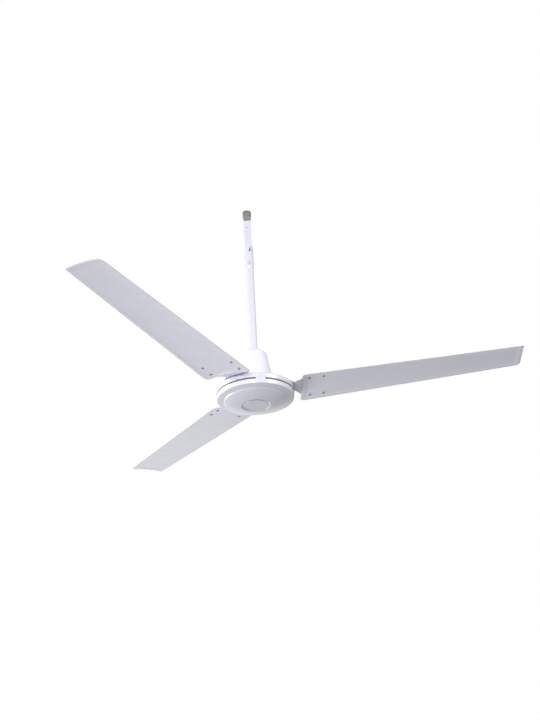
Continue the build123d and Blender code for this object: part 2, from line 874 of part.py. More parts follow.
with BuildPart() as border_cut:
    add(sheet_slab(blade_sheet, 3 * blade_sheet + panel_step))
    add(panel_prism, mode=Mode.SUBTRACT)

with BuildPart() as panel_cut:
    add(sheet_slab(-2 * panel_step, panel_step))
    add(hollow_prism, mode=Mode.INTERSECT)

with BuildPart() as blade_form:
    add(sheet_slab(0, blade_sheet + panel_step))
    add(blade_prism, mode=Mode.INTERSECT)
    add(border_cut.part, mode=Mode.SUBTRACT)
    add(panel_cut.part, mode=Mode.SUBTRACT)
    with Locations([(r, t, gap_z) for r, t in rivet_spots]):
        Cylinder(rivet_radius, sweep_radius / 2, mode=Mode.SUBTRACT)


# Blade arms: a foot on the shell's pad, a twisted neck, and a plate riveted on the blade
arm_low = panel_step + blade_sheet
arm_high = arm_low + arm_thickness
plate_trail = rivet_trail + arm_plate_margin
plate_lead = -rivet_lead - arm_plate_margin
arm_corners = [
    (arm_plate_start, -arm_neck_lead),
    (arm_plate_start, arm_neck_trail),
    (arm_shoulder, plate_trail),
    (arm_plate_end, plate_trail),
    (arm_plate_end, plate_lead),
    (arm_shoulder, plate_lead),
]
arm_radii = [blade_sheet, blade_sheet, arm_corner, arm_corner, arm_corner, arm_corner]
arm_prism = plan_prism(arm_corners, arm_radii)


def neck_section(radius, chords, lows, highs):
    """A six-sided section across the neck, with points at three places along the chord."""
    with BuildSketch(Plane(origin=(radius, 0, 0), x_dir=(0, 1, 0), z_dir=(1, 0, 0))) as section:
        with BuildLine():
            Polyline(*zip(chords, lows), *reversed(list(zip(chords, highs))), close=True)
        make_face()
    return section.sketch


def sheet_height(radius, chord):
    """About how high the blade's lower face is at a radius and a place along the chord."""
    crease = between(radius, root_crease, tip_crease)
    camber = between(radius, root_camber, tip_camber)
    if chord > crease:
        edge = between(radius, root_trail, tip_trail) + blade_run_out
        arch = between(radius, root_trail_arch, tip_arch)
    else:
        edge = -between(radius, root_lead, tip_lead) - blade_run_out
        arch = between(radius, root_lead_arch, tip_arch)
    share = (edge - chord) / (edge - crease)
    slope = between(radius, tan(radians(root_pitch)), tan(radians(tip_pitch)))
    middle = gap_z + station_up + tan(radians(cone_angle)) * (radius - station_radius)
    return middle - slope * chord + camber * share + 4 * arch * share * (1 - share)


neck_end = arm_plate_start + arm_thickness
neck_chords = (-arm_neck_lead, 0, arm_neck_trail)
neck_lows = [sheet_height(neck_end, c) + arm_low + arm_inset for c in neck_chords]
neck_highs = [low + arm_thickness - 2 * arm_inset for low in neck_lows]
foot_chords = (-arm_foot_width / 2, 0, arm_foot_width / 2)

with BuildPart() as arm_form:
    add(sheet_slab(arm_low, arm_high))
    add(arm_prism, mode=Mode.INTERSECT)
    foot_end = neck_section(arm_foot_outer, foot_chords, [pad_top] * 3, [pad_top + arm_thickness] * 3)
    neck_tip = neck_section(neck_end, neck_chords, neck_lows, neck_highs)
    loft([foot_end, neck_tip], ruled=True)
    with BuildSketch(Plane.XY.offset(pad_top)):
        with Locations((arm_foot_middle, 0)):
            Rectangle(arm_foot_length, arm_foot_width)
        foot_corner = min(arm_foot_width / 3, arm_foot_length - arm_inset)
        fillet(vertices().group_by(Axis.X)[0], radius=foot_corner)
    extrude(amount=arm_thickness)
    with Locations([(r, t, gap_z) for r, t in rivet_spots]):
        Cylinder(rivet_radius, sweep_radius / 2, mode=Mode.SUBTRACT)
    with Locations([(r, t, pad_top) for r, t in arm_screw_spots]):
        Cylinder(arm_screw_radius, 4 * arm_thickness, mode=Mode.SUBTRACT)

with BuildPart() as rivet_form:
    for r, t in rivet_spots:
        under = sheet_height(r, t) + panel_step
        with BuildSketch(Plane.XY.offset(under + rivet_sink)):
            with Locations((r, t)):
                Circle(rivet_head_radius)
        extrude(amount=-rivet_sink - rivet_head_height)
        with BuildSketch(Plane.XY.offset(under + blade_sheet + arm_thickness - rivet_sink)):
            with Locations((r, t)):
                Circle(rivet_head_radius)
        extrude(amount=rivet_sink + rivet_head_height)
        with BuildSketch(Plane.XY.offset(under)):
            with Locations((r, t)):
                Circle(rivet_radius)
        extrude(amount=blade_sheet + arm_thickness)
    add(blade_form.part, mode=Mode.SUBTRACT)
    add(arm_form.part, mode=Mode.SUBTRACT)

with BuildPart() as screw_form:
    for r, t in arm_screw_spots:
        with BuildSketch(Plane.XY.offset(pad_top + arm_thickness)):
            with Locations((r, t)):
                RegularPolygon(arm_screw_flat, 6, major_radius=False)
        extrude(amount=arm_screw_head)
        with BuildSketch(Plane.XY.offset(pad_top + arm_thickness)):
            with Locations((r, t)):
                Circle(arm_screw_radius)
        extrude(amount=-arm_screw_length)

for number, angle in enumerate(blade_angles, start=1):
    with BuildPart() as blade:
        add(blade_form.part.moved(turned(angle)))
    finish(blade, f"blade_{number}")
    with BuildPart() as blade_arm:
        add(arm_form.part.moved(turned(angle)))
    finish(blade_arm, f"blade_arm_{number}")
    with BuildPart() as blade_rivets:
        add(rivet_form.part.moved(turned(angle)))
    finish(blade_rivets, f"blade_rivets_{number}")
    with BuildPart() as arm_screws:
        add(screw_form.part.moved(turned(angle)))
    finish(arm_screws, f"arm_screws_{number}")


# Connection bracket: a plate on the shaft under the canopy
with BuildPart() as connection_bracket:
    with BuildSketch(Plane.XY.offset(bracket_z)):
        with Locations(((bracket_reach - bracket_wide_from) / 2, 0)):
            Rectangle(bracket_reach + bracket_wide_from, 2 * bracket_half_width)
        with Locations((-(bracket_reach + bracket_wide_from) / 2, 0)):
            Rectangle(bracket_reach - bracket_wide_from, 2 * bracket_wide_half)
        fillet(vertices().group_by(Axis.X)[0] + vertices().group_by(Axis.X)[-1], radius=capacitor_round)
        Circle(bracket_hub_radius)
        Circle(shaft_radius, mode=Mode.SUBTRACT)
    extrude(amount=bracket_sheet)
    with BuildSketch(Plane.XY.offset(bracket_top)):
        Circle(bracket_hub_radius)
        Circle(shaft_radius, mode=Mode.SUBTRACT)
    extrude(amount=bracket_hub_height)
finish(connection_bracket, "connection_bracket")

# Terminal block with a well for each lead, and the screws in the wells
well_x = block_start + block_width / 2
with BuildPart() as terminal_block:
    with Locations((well_x, 0, bracket_top + block_height / 2)):
        Box(block_width, block_length, block_height)
    fillet(edges().filter_by(Axis.Z), radius=capacitor_round / 2)
    with BuildSketch(Plane.XY.offset(bracket_top + block_height)):
        with Locations((well_x, 0)):
            with GridLocations(0, well_pitch, 1, well_count):
                Circle(terminal_radius)
    extrude(amount=-well_depth, mode=Mode.SUBTRACT)
finish(terminal_block, "terminal_block")

with BuildPart() as terminal_screws:
    with BuildSketch(Plane.XY.offset(bracket_top + block_height - well_depth)):
        with Locations((well_x, 0)):
            with GridLocations(0, well_pitch, 1, well_count):
                Circle(terminal_radius)
    extrude(amount=terminal_height)
finish(terminal_screws, "terminal_screws")

# Capacitor and the band that holds it down
capacitor_x = -capacitor_start - capacitor_width / 2
with BuildPart() as capacitor:
    with Locations((capacitor_x, 0, bracket_top + capacitor_height / 2)):
        Box(capacitor_width, capacitor_length, capacitor_height)
    fillet(edges().filter_by(Axis.X), radius=capacitor_round)
    fillet(edges().filter_by(Axis.Z), radius=capacitor_round / 2)
finish(capacitor, "capacitor")

with BuildPart() as capacitor_band:
    with BuildSketch(Plane.YZ.offset(capacitor_x)):
        band_half = capacitor_length / 2 + band_sheet
        band_top = bracket_top + capacitor_height + band_sheet
        with Locations((0, (bracket_top + band_top) / 2)):
            Rectangle(2 * band_half, band_top - bracket_top)
        fillet(vertices().group_by(Axis.Y)[-1], radius=capacitor_round + band_sheet)
        with Locations((0, bracket_top + band_sheet / 2)):
            Rectangle(2 * (band_half + band_foot), band_sheet)
        with BuildSketch(mode=Mode.PRIVATE) as core:
            with Locations((0, bracket_top + capacitor_height / 2)):
                Rectangle(capacitor_length, capacitor_height)
            fillet(core.vertices(), radius=capacitor_round)
        with Locations((0, bracket_top + capacitor_height / 4)):
            Rectangle(capacitor_length, capacitor_height / 2, mode=Mode.SUBTRACT)
        add(core.sketch, mode=Mode.SUBTRACT)
    extrude(amount=band_width / 2, both=True)
finish(capacitor_band, "capacitor_band")
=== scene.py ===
import json
from math import asin, atan2, cos, hypot, pi, radians, sin, tan

import bpy
from bpy.props import FloatProperty, FloatVectorProperty, PointerProperty
from mathutils import Matrix, Vector

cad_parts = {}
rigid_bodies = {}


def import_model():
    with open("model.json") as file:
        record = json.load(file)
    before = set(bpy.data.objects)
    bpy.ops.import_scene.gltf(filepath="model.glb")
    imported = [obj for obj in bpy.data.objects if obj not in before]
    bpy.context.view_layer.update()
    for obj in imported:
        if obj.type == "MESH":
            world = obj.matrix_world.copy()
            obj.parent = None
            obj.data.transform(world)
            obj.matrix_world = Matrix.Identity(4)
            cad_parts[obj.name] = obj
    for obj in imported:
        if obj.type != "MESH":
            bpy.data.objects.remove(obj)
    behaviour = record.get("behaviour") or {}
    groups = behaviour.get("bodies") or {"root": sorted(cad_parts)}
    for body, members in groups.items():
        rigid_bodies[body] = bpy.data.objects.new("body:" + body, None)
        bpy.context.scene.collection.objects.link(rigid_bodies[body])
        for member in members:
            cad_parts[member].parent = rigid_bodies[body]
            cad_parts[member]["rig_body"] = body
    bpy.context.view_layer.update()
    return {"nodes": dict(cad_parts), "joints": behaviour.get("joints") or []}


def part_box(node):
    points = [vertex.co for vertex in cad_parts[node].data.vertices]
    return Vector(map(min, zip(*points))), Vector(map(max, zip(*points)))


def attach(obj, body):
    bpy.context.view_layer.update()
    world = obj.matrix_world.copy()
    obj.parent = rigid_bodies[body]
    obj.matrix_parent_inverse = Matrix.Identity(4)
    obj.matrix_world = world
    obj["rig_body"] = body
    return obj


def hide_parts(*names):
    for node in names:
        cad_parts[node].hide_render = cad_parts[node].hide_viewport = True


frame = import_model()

bl_info = {
    "name": "Ceiling fan dressing",
    "version": (1, 0, 0),
    "blender": (4, 5, 0),
    "location": "3D View > Sidebar > Ceiling fan",
    "description": "Models and finishes the visible pieces of a ceiling fan on its packed frame",
    "category": "Object",
}

NODES = frame["nodes"]
SPIN = next(joint for joint in frame["joints"] if joint["name"] == "rotor_spin")
GAP_LEVEL = SPIN["pos_m"][2]
BLADE_NUMBERS = (1, 2, 3)

# Points closer than this become one: in a piece modelled here, and in a copy of a CAD mesh
MERGE = 0.000001
CAD_MERGE = 0.000005
# Two places closer than this are the same
NEAR = 0.00001
WHITE = (1.0, 1.0, 1.0, 1.0)
DUST_SHADE = (0.42, 0.40, 0.36, 1.0)
SHEET_HEIGHT = 0.0005
WIRE_WIDTH = 0.0009


def setting(name, description, default, kind=FloatProperty, **more):
    """A setting of the sidebar: its name, what it means, and its value at the start."""
    return kind(name=name, description=description, default=default, **more)


def length(name, description, default):
    """A setting in metres."""
    return setting(name, description, default, subtype="DISTANCE", unit="LENGTH", precision=5)


def angle(name, description, degrees):
    """A setting that is shown in degrees."""
    return setting(name, description, radians(degrees), subtype="ANGLE")


def amount(name, description, default):
    """A plain number."""
    return setting(name, description, default, min=0.0)


def watts(name, description, default):
    """A lamp's power in watts."""
    return setting(name, description, default, unit="POWER")


def film_size(name, description, default):
    """A camera's measure in millimetres."""
    return setting(name, description, default, unit="CAMERA")


def colour(name, description, default):
    """A colour in linear values."""
    return setting(name, description, default, FloatVectorProperty, subtype="COLOR", min=0, max=1)


# Settings


class FanBladeSettings(bpy.types.PropertyGroup):
    """The pressed blade: its outline, its pressed panel, and the form of its sheet."""

    sweep: length("Sweep radius", "From the fan's axis to the blade's tip", 0.7)
    root_trail: length("Trailing root radius", "Radius of that root corner", 0.113)
    root_lead: length("Leading root radius", "Radius of that root corner", 0.1205)
    root_middle: length("Middle root radius", "Radius at which the root edge bends", 0.1245)
    root_bend: length("Root bend", "From the middle line back to the bend of the root edge", 0.010)
    station: length("Station radius", "Radius at which the root widths are given", 0.12)
    station_height: length("Station height", "Lower face of the sheet there, above the gap", 0.0068)
    trail_width: length("Trailing width, root", "Middle line to that edge at the station", 0.0603)
    lead_width: length("Leading width, root", "Middle line to that edge at the station", 0.0698)
    tip_trail_width: length("Trailing width, tip", "Middle line to that edge at the tip", 0.0403)
    tip_lead_width: length("Leading width, tip", "Middle line to that edge at the tip", 0.0579)
    run_out: length("Run-out", "How far the form runs past the outline", 0.004)
    crease: length("Crease, root", "From the middle line back to the crease at the station", 0.038)
    tip_crease: length("Crease, tip", "From the middle line back to the crease at the tip", 0.009)
    camber: length("Camber, root", "Rise of the crease over the edges at the station", 0.0035)
    tip_camber: length("Camber, tip", "Rise of the crease over the edges at the tip", 0.0045)
    lead_arch: length("Leading arch, root", "Bulge of the leading half at the station", 0.0006)
    trail_arch: length("Trailing arch, root", "Bulge of the trailing half at the station", 0.0014)
    tip_arch: length("Arch, tip", "Bulge of both halves at the tip", 0.0011)
    pitch: angle("Pitch, root", "Slope across the blade at the station", 4.79)
    tip_pitch: angle("Pitch, tip", "Slope across the blade at the tip", 3.8)
    cone: angle("Cone", "Rise of the blades outwards", 5.14)
    first: angle("First blade", "Direction of the first blade", -0.8)
    border: length("Border", "Width of the flat band round the pressed panel", 0.008)
    press_depth: length("Press depth", "How far the panel is pressed up", 0.0006)
    press_run: length("Press run", "Width of the step between band and panel", 0.0018)
    sheet: length("Sheet", "Thickness of the blade's sheet", 0.001)
    edge_round: length("Edge round", "Rounding of the sheet's cut edge", 0.0003)
    corner_root_lead: length("Leading root corner", "Rounding of this corner", 0.013)
    corner_root_trail: length("Trailing root corner", "Rounding of this corner", 0.011)
    corner_root_middle: length("Root bend round", "Rounding of the bend in the root edge", 0.15)
    corner_least: length("Least corner", "Rounding of panel corners that would be sharp", 0.001)
    corner_tip_trail: length("Trailing tip corner", "Rounding of this corner", 0.013)
    corner_tip_lead: length("Leading tip corner", "Rounding of this corner", 0.005)
    row_pitch: length("Row pitch", "Distance between the mesh rows along the blade", 0.024)
    least_step: length("Least step", "Points of the mesh closer than this become one", 0.0001)


class FanFixingSettings(bpy.types.PropertyGroup):
    """Rivets, screws, bolts and pins."""

    rivet_head: length("Rivet head", "Radius of a rivet's flange", 0.0036)
    rivet_shank: length("Rivet shank", "Radius of a rivet's shank", 0.0025)
    rivet_bore: length("Rivet bore", "Radius of the hollow in a rivet's lower end", 0.0021)
    rivet_depth: length("Rivet bore depth", "Depth of that hollow", 0.0018)
    rivet_height: length("Rivet head height", "How far a rivet's heads stand out", 0.0013)
    rivet_bite: length("Rivet bite", "How far a rivet's heads press into the sheets", 0.0001)
    arm_sheet: length("Arm sheet", "Thickness of a blade arm", 0.002)
    chamfer: length("Chamfer", "Chamfer of bolt heads and nuts", 0.0006)
    washer: length("Washer", "Thickness of the washer face", 0.0006)
    thread_pitch: length("Thread pitch", "From one thread crest to the next", 0.001)
    thread_depth: length("Thread depth", "From crest to root", 0.0004)
    thread_point: length("Thread point", "Plain end of a screw under its thread", 0.001)
    thread_reach: length("Thread reach", "How far a bolt's thread starts before its nut", 0.002)
    screw_turn: angle("Screw turn", "Each arm screw is turned this far past the one before", 17.0)
    cross_turn: angle("Cross turn", "Turn of a cross recess from the line to the axis", 25.0)
    recess: length("Recess", "Half the span of a screw's cross recess", 0.0017)
    recess_width: length("Recess width", "Width of the recess's slots", 0.0008)
    recess_depth: length("Recess depth", "Depth of the recess", 0.0012)
    pin_wire: length("Split pin wire", "Radius of one leg of a split pin", 0.00065)
    soft_edge: length("Soft edge", "Rounding of cut and cast edges", 0.0005)


class FanRubberSettings(bpy.types.PropertyGroup):
    """The rubber round the eye."""

    edge: length("Edge round", "Rounding of the barrel's ends", 0.0092)
    lip: length("Lip", "Rounding of the bore's ends", 0.0007)
    bore: length("Bore", "Radius of the hole for the hook", 0.006)
    neck_width: length("Neck width", "Half the neck's width along the eye", 0.0105)
    neck_top: length("Neck top", "Half the neck's thickness at the barrel", 0.0094)
    neck_foot: length("Neck foot", "Half the neck's thickness at its foot", 0.0059)
    voxel: length("Grain of the blend", "Voxel size that blends barrel and neck", 0.0006)


class FanFinishSettings(bpy.types.PropertyGroup):
    """Colours and textures of the finishes."""

    # The blue in these four whites is painted shade: it stands in for the bluish light on their
    # shaded sides
    enamel: colour("Enamel", "Gloss enamel of rod, shells and arms", (0.71, 0.715, 0.81))
    blade_enamel: colour("Blade enamel", "Enamel of the blades", (0.85, 0.855, 0.965))
    moulding: colour("White moulding", "White plastic of the canopy", (0.81, 0.81, 0.90))
    cap: colour("Grey moulding", "Plastic of the centre cap", (0.80, 0.80, 0.88))
    nylon: colour("Nylon", "Terminal block and capacitor", (0.72, 0.72, 0.67))
    rubber: colour("Rubber", "Rubber of the eye and the grip", (0.20, 0.20, 0.205))
    zinc: colour("Zinc", "Zinc plate of the fixings", (0.58, 0.59, 0.60))
    # The rivets' dark blue-grey is painted shade: it stands in for the shade in their hollow ends
    # and darkens the whole rivet
    rivet: colour("Rivet", "Dull plating of the rivets", (0.26, 0.26, 0.33))
    steel: colour("Steel", "Ground steel of shaft and rings", (0.50, 0.51, 0.52))
    bright: colour("Bright steel", "Polished steel of the bearings", (0.66, 0.67, 0.68))
    varnish: colour("Varnished core", "Stacked sheets under varnish", (0.22, 0.13, 0.06))
    copper: colour("Copper", "Enamelled winding wire", (0.45, 0.19, 0.07))
    alloy: colour("Cast alloy", "Cast cage of the rotor", (0.55, 0.56, 0.57))
    peel_scale: amount("Orange peel scale", "Waves of the enamel's skin per metre", 420.0)
    peel: amount("Orange peel", "Strength of the enamel's skin", 0.06)
    dust: amount("Dust", "How much dust lies on faces that look up", 0.10)


class FanStageSettings(bpy.types.PropertyGroup):
    """Camera, floor and lamps."""

    camera_place: setting(
        "Camera place",
        "Where the camera stands",
        (0.0, -3.17946, -2.03116),
        FloatVectorProperty,
        unit="LENGTH",
    )
    camera_heading: angle("Camera heading", "Turn of the camera to the right", 4.6)
    camera_rise: angle("Camera rise", "How far the camera looks up", 31.475)
    camera_roll: angle("Camera roll", "Tilt of the camera about its view", -5.199)
    lens: film_size("Lens", "Focal length", 67.697)
    sensor: film_size("Sensor", "Long side of the film", 36.0)
    shift: setting(
        "Shift",
        "Shift of the picture on the film, in long sides of the film",
        (-0.0982, -0.1744),
        FloatVectorProperty,
        size=2,
    )
    floor_drop: length("Floor drop", "From the blades down to the floor", 2.4)
    floor_size: length("Floor size", "Side of the square floor", 16.0)
    floor_colour: colour("Floor colour", "Pale floor", (0.86, 0.86, 0.86))
    floor_light: amount("Floor light", "How far the camera sees the floor as plain white", 0.62)
    room_light: amount("Room light", "Even light from the whole room", 0.28)
    lamp_distance: length("Lamp distance", "From each lamp to what it lights", 3.2)
    lamp_size: length("Lamp size", "Diameter of each lamp", 1.4)
    spread: angle("Lamp spread", "How wide the lamps spread their light", 70.0)
    key_power: watts("Key lamp", "Lamp at the left", 8.4)
    fill_power: watts("Fill lamp", "Lamp at the front right, a little higher", 5.8)
    front_power: watts("Front lamp", "Lamp in front, a little lower", 12.4)
    back_power: watts("Back lamp", "Low lamp at the back left", 9.6)


# Shader sums


class Wire:
    """An output of a node that takes part in sums; each sum adds its Math node."""

    def __init__(self, finish, socket):
        self.finish = finish
        self.socket = socket

    def math(self, operation, *values):
        return self.finish.node("Math", {"operation": operation}, dict(enumerate(values)))

    def __add__(self, other):
        return self.math("ADD", self, other)

    def __radd__(self, other):
        return self.math("ADD", other, self)

    def __sub__(self, other):
        return self.math("SUBTRACT", self, other)

    def __rsub__(self, other):
        return self.math("SUBTRACT", other, self)

    def __mul__(self, other):
        return self.math("MULTIPLY", self, other)

    def sine(self):
        return self.math("SINE", self)

    def root(self):
        return self.math("SQRT", self)

    def larger(self, other):
        return self.math("MAXIMUM", self, other)


class Finish:
    """The nodes of a material or of the room: they all come from one method."""

    def __init__(self, owner, settings):
        owner.use_nodes = True
        self.owner = owner
        self.settings = settings
        self.tree = owner.node_tree
        self.tree.nodes.clear()

    def node(self, kind, settings=None, inputs=None, output=0):
        """Adds a node, sets it up, feeds its sockets, and returns one of its outputs."""
        made = self.tree.nodes.new(f"ShaderNode{kind}")
        for name, value in (settings or {}).items():
            if name == "stops":
                ramp = made.color_ramp.elements
                while len(ramp) < len(value):
                    ramp.new(1.0)
                for stop, (place, shade) in zip(ramp, value):
                    stop.position = place
                    stop.color = (*shade, 1.0)
            else:
                setattr(made, name, value)
        for name, value in (inputs or {}).items():
            if isinstance(value, Wire):
                self.tree.links.new(value.socket, made.inputs[name])
            else:
                made.inputs[name].default_value = value
        return Wire(self, made.outputs[output]) if made.outputs else None

    def place(self):
        """The point on the object, in metres."""
        return self.node("TexCoord", output="Object")

    def parts(self, vector):
        """The three numbers of a vector."""
        split = self.node("SeparateXYZ", inputs={0: vector})
        return tuple(Wire(self, socket) for socket in split.socket.node.outputs)

    def round_axis(self):
        """The distance from the fan's axis, and the height."""
        across, along, height = self.parts(self.place())
        return (across * across + along * along).root(), height

    def noise(self, scale, detail=2.0, roughness=0.5):
        """Cloudy variation from 0 to 1, with this many waves to the metre."""
        inputs = {"Vector": self.place(), "Scale": scale, "Detail": detail, "Roughness": roughness}
        return self.node("TexNoise", inputs=inputs)

    def step(self, value, low, high, dark=0.0, light=1.0):
        """Follows a value from one level to another, and stays level outside them."""
        inputs = {"Value": value, "From Min": low, "From Max": high}
        inputs |= {"To Min": dark, "To Max": light}
        return self.node("MapRange", {"clamp": True}, inputs)

    def blend(self, factor, first, second):
        """One colour where the factor is 0 and another where it is 1."""
        inputs = {0: factor, 6: first, 7: second}
        return self.node("Mix", {"data_type": "RGBA"}, inputs, output=2)

    def bump(self, height, strength, distance):
        """A surface raised by this height."""
        inputs = {"Height": height, "Strength": strength, "Distance": distance}
        return self.node("Bump", inputs=inputs)

    def upward(self):
        """1 on faces that look up and 0 on all others."""
        normal = self.node("NewGeometry", output="Normal")
        return self.step(self.parts(normal)[2], 0.2, 0.9)

    def dust(self, patches):
        """How much dust lies here: on faces that look up, with this many patches to the metre."""
        return self.upward() * self.step(self.noise(patches, 4.0), 0.42, 0.7) * self.settings.dust

    def close(self, **sockets):
        """Ends the material in one surface shader."""
        labels = {name: name.replace("_", " ").title().replace("Ior", "IOR") for name in sockets}
        inputs = {labels[name]: value for name, value in sockets.items()}
        shader = self.node("BsdfPrincipled", inputs=inputs)
        self.node("OutputMaterial", inputs={"Surface": shader})
        return self.owner


def solid(shade, factor=1.0):
    """A colour with its alpha, made lighter or darker by a factor."""
    return (*(min(1.0, part * factor) for part in shade), 1.0)


# Finishes


def gloss_enamel(finish, shade):
    """Sprayed and baked gloss enamel: an orange-peel skin, slight cloudiness, and dust on top."""
    cloud = finish.noise(9.0, 3.0)
    skin = finish.noise(finish.settings.peel_scale, 2.0)
    fine = finish.noise(finish.settings.peel_scale * 4, 1.0)
    dust = finish.dust(70.0)
    clean = finish.blend(cloud, solid(shade, 0.975), solid(shade, 1.02))
    return finish.close(
        base_color=finish.blend(dust, clean, DUST_SHADE),
        roughness=0.2 + cloud * 0.1 + fine * 0.04 + dust * 2.0,
        normal=finish.bump(skin, finish.settings.peel, 0.0006),
        coat_weight=0.35 - dust,
        coat_roughness=0.06,
        ior=1.5,
    )


def white_moulding(finish, shade):
    """Gloss plastic from a polished mould: faint sink marks and a fine satin grain."""
    sink = finish.noise(28.0, 2.0)
    grain = finish.noise(1900.0, 2.0)
    dust = finish.dust(60.0)
    clean = finish.blend(sink, solid(shade, 0.98), solid(shade, 1.015))
    return finish.close(
        base_color=finish.blend(dust, clean, DUST_SHADE),
        roughness=0.26 + grain * 0.08 + dust * 2.0,
        normal=finish.bump(sink * 0.8 + grain * 0.02, 0.12, 0.0015),
        ior=1.49,
    )


def matt_nylon(finish, shade):
    """Matt nylon or moulded plastic with a spark-eroded grain."""
    grain = finish.noise(1400.0, 4.0, roughness=0.7)
    cloud = finish.noise(35.0, 2.0)
    return finish.close(
        base_color=finish.blend(cloud, solid(shade, 0.95), solid(shade, 1.03)),
        roughness=0.42 + grain * 0.2,
        normal=finish.bump(grain, 0.22, 0.0002),
        ior=1.53,
    )


def grey_rubber(finish, shade):
    """Moulded rubber: a soft bloom of lighter, rougher patches and a fine grain."""
    grain = finish.noise(1600.0, 5.0, roughness=0.75)
    bloom = finish.step(finish.noise(120.0, 4.0), 0.35, 0.72)
    return finish.close(
        base_color=finish.blend(bloom, solid(shade, 0.86), solid(shade, 1.18)),
        roughness=0.40 + bloom * 0.14 + grain * 0.1,
        normal=finish.bump(grain, 0.3, 0.0002),
        ior=1.52,
    )


def zinc_plate(finish, shade):
    """Zinc-plated steel: cloudy, with small bright and dull crystals and a hint of yellow."""
    cloud = finish.noise(260.0, 4.0)
    inputs = {"Vector": finish.place(), "Scale": 900.0}
    crystals = finish.node("TexVoronoi", {"feature": "F1"}, inputs)
    warm = (shade[0] * 1.05, shade[1], shade[2] * 0.86)
    tint = finish.blend(finish.step(cloud, 0.4, 0.75), solid(shade), solid(warm))
    return finish.close(
        base_color=finish.blend(crystals * 0.35, tint, solid(shade, 0.62)),
        metallic=1.0,
        roughness=0.28 + cloud * 0.2 + crystals * 0.12,
        normal=finish.bump(crystals, 0.15, 0.0001),
    )


def turned_steel(finish, shade, rings=2600.0, polish=0.24):
    """Steel ground or turned about the fan's axis: fine rings round Z and a light oil film."""
    radius, height = finish.round_axis()
    wander = finish.noise(300.0, 2.0)
    lines = ((radius + height) * rings + wander * 4.0).sine()
    film = finish.noise(55.0, 3.0)
    clear = finish.step(film, 0.35, 0.7)
    return finish.close(
        base_color=finish.blend(clear, solid(shade, 0.82), solid(shade, 1.08)),
        metallic=1.0,
        roughness=polish + film * 0.12 + lines * 0.03,
        normal=finish.bump(lines, 0.12, 0.0001),
    )


def bright_steel(finish, shade):
    """Polished bearing steel with finer rings."""
    return turned_steel(finish, shade, rings=5200.0, polish=0.12)


def varnished_stack(finish, shade):
    """A stack of thin sheets under brown varnish, with runs and dark joints."""
    height = finish.parts(finish.place())[2]
    joints = finish.step((height * (2 * pi / SHEET_HEIGHT)).sine(), 0.55, 0.95)
    runs = finish.noise(140.0, 4.0)
    amber = finish.blend(finish.step(runs, 0.35, 0.7), solid(shade, 0.6), solid(shade, 1.9))
    return finish.close(
        base_color=finish.blend(joints, amber, solid(shade, 0.25)),
        metallic=0.35,
        roughness=0.3 + runs * 0.2 + joints * 0.2,
        normal=finish.bump(1.0 - joints, 0.4, 0.0001),
        coat_weight=0.4,
        coat_roughness=0.2,
    )


def wound_copper(finish, shade):
    """Windings of enamelled wire: rows of round wires under varnish, with painted shade in the
    grooves between them.
    """
    radius, height = finish.round_axis()
    wires = ((height + radius * 0.6) * (2 * pi / WIRE_WIDTH)).sine()
    runs = finish.noise(110.0, 3.0)
    # rows runs from the groove between two wires to a wire's crest, and darkens the grooves:
    # painted shade of the round wires, along with their bump
    rows = finish.step(wires, -1.0, 1.0)
    bright = finish.blend(runs, solid(shade, 0.8), solid(shade, 1.3))
    return finish.close(
        base_color=finish.blend(rows, solid(shade, 0.35), bright),
        metallic=0.7,
        roughness=0.26 + runs * 0.18,
        normal=finish.bump(rows, 0.6, 0.0003),
        coat_weight=0.5,
        coat_roughness=0.12,
    )


def cast_alloy(finish, shade):
    """Pressure-cast aluminium: a frosted, slightly pitted skin."""
    skin = finish.noise(650.0, 6.0, roughness=0.7)
    pits = finish.step(finish.noise(220.0, 3.0), 0.62, 0.75)
    return finish.close(
        base_color=finish.blend(pits, solid(shade), solid(shade, 0.6)),
        metallic=1.0,
        roughness=0.42 + skin * 0.2,
        normal=finish.bump(skin - pits * 0.6, 0.35, 0.0003),
    )


# Each material slot of the frame, with its finish and the setting that colours it
FINISHES = {
    "white_paint": (gloss_enamel, "enamel"),
    "blade_paint": (gloss_enamel, "blade_enamel"),
    "white_plastic": (white_moulding, "moulding"),
    "grey_plastic": (matt_nylon, "cap"),
    "white_nylon": (matt_nylon, "nylon"),
    "black_rubber": (grey_rubber, "rubber"),
    "zinc_steel": (zinc_plate, "zinc"),
    # The rivets take zinc plate in a dark colour of painted shade
    "rivet_steel": (zinc_plate, "rivet"),
    "shaft_steel": (turned_steel, "steel"),
    "bearing_steel": (bright_steel, "bright"),
    "lamination": (varnished_stack, "varnish"),
    "copper_coil": (wound_copper, "copper"),
    "cast_alloy": (cast_alloy, "alloy"),
}


def finish_name(slot):
    """The name of the material that finishes a slot."""
    return f"fan_{slot}"


# Modelling moves


def mode(name):
    """Opens the active piece for editing, or closes it."""
    bpy.ops.object.mode_set(mode=name)


def clear_selection():
    """Leaves nothing selected, so that the next move acts only on the new piece."""
    if bpy.context.object and bpy.context.object.mode != "OBJECT":
        mode("OBJECT")
    bpy.ops.object.select_all(action="DESELECT")


def take(piece):
    """Selects one piece and nothing else."""
    clear_selection()
    piece.select_set(True)
    bpy.context.view_layer.objects.active = piece
    return piece


def named(name):
    """Names the active piece and its mesh."""
    piece = bpy.context.object
    piece.name = piece.data.name = name
    return piece


def new_piece(name):
    """Names the primitive that was just added, and opens it for editing."""
    piece = named(name)
    bpy.ops.object.transform_apply(location=True, rotation=True, scale=True)
    mode("EDIT")
    return piece


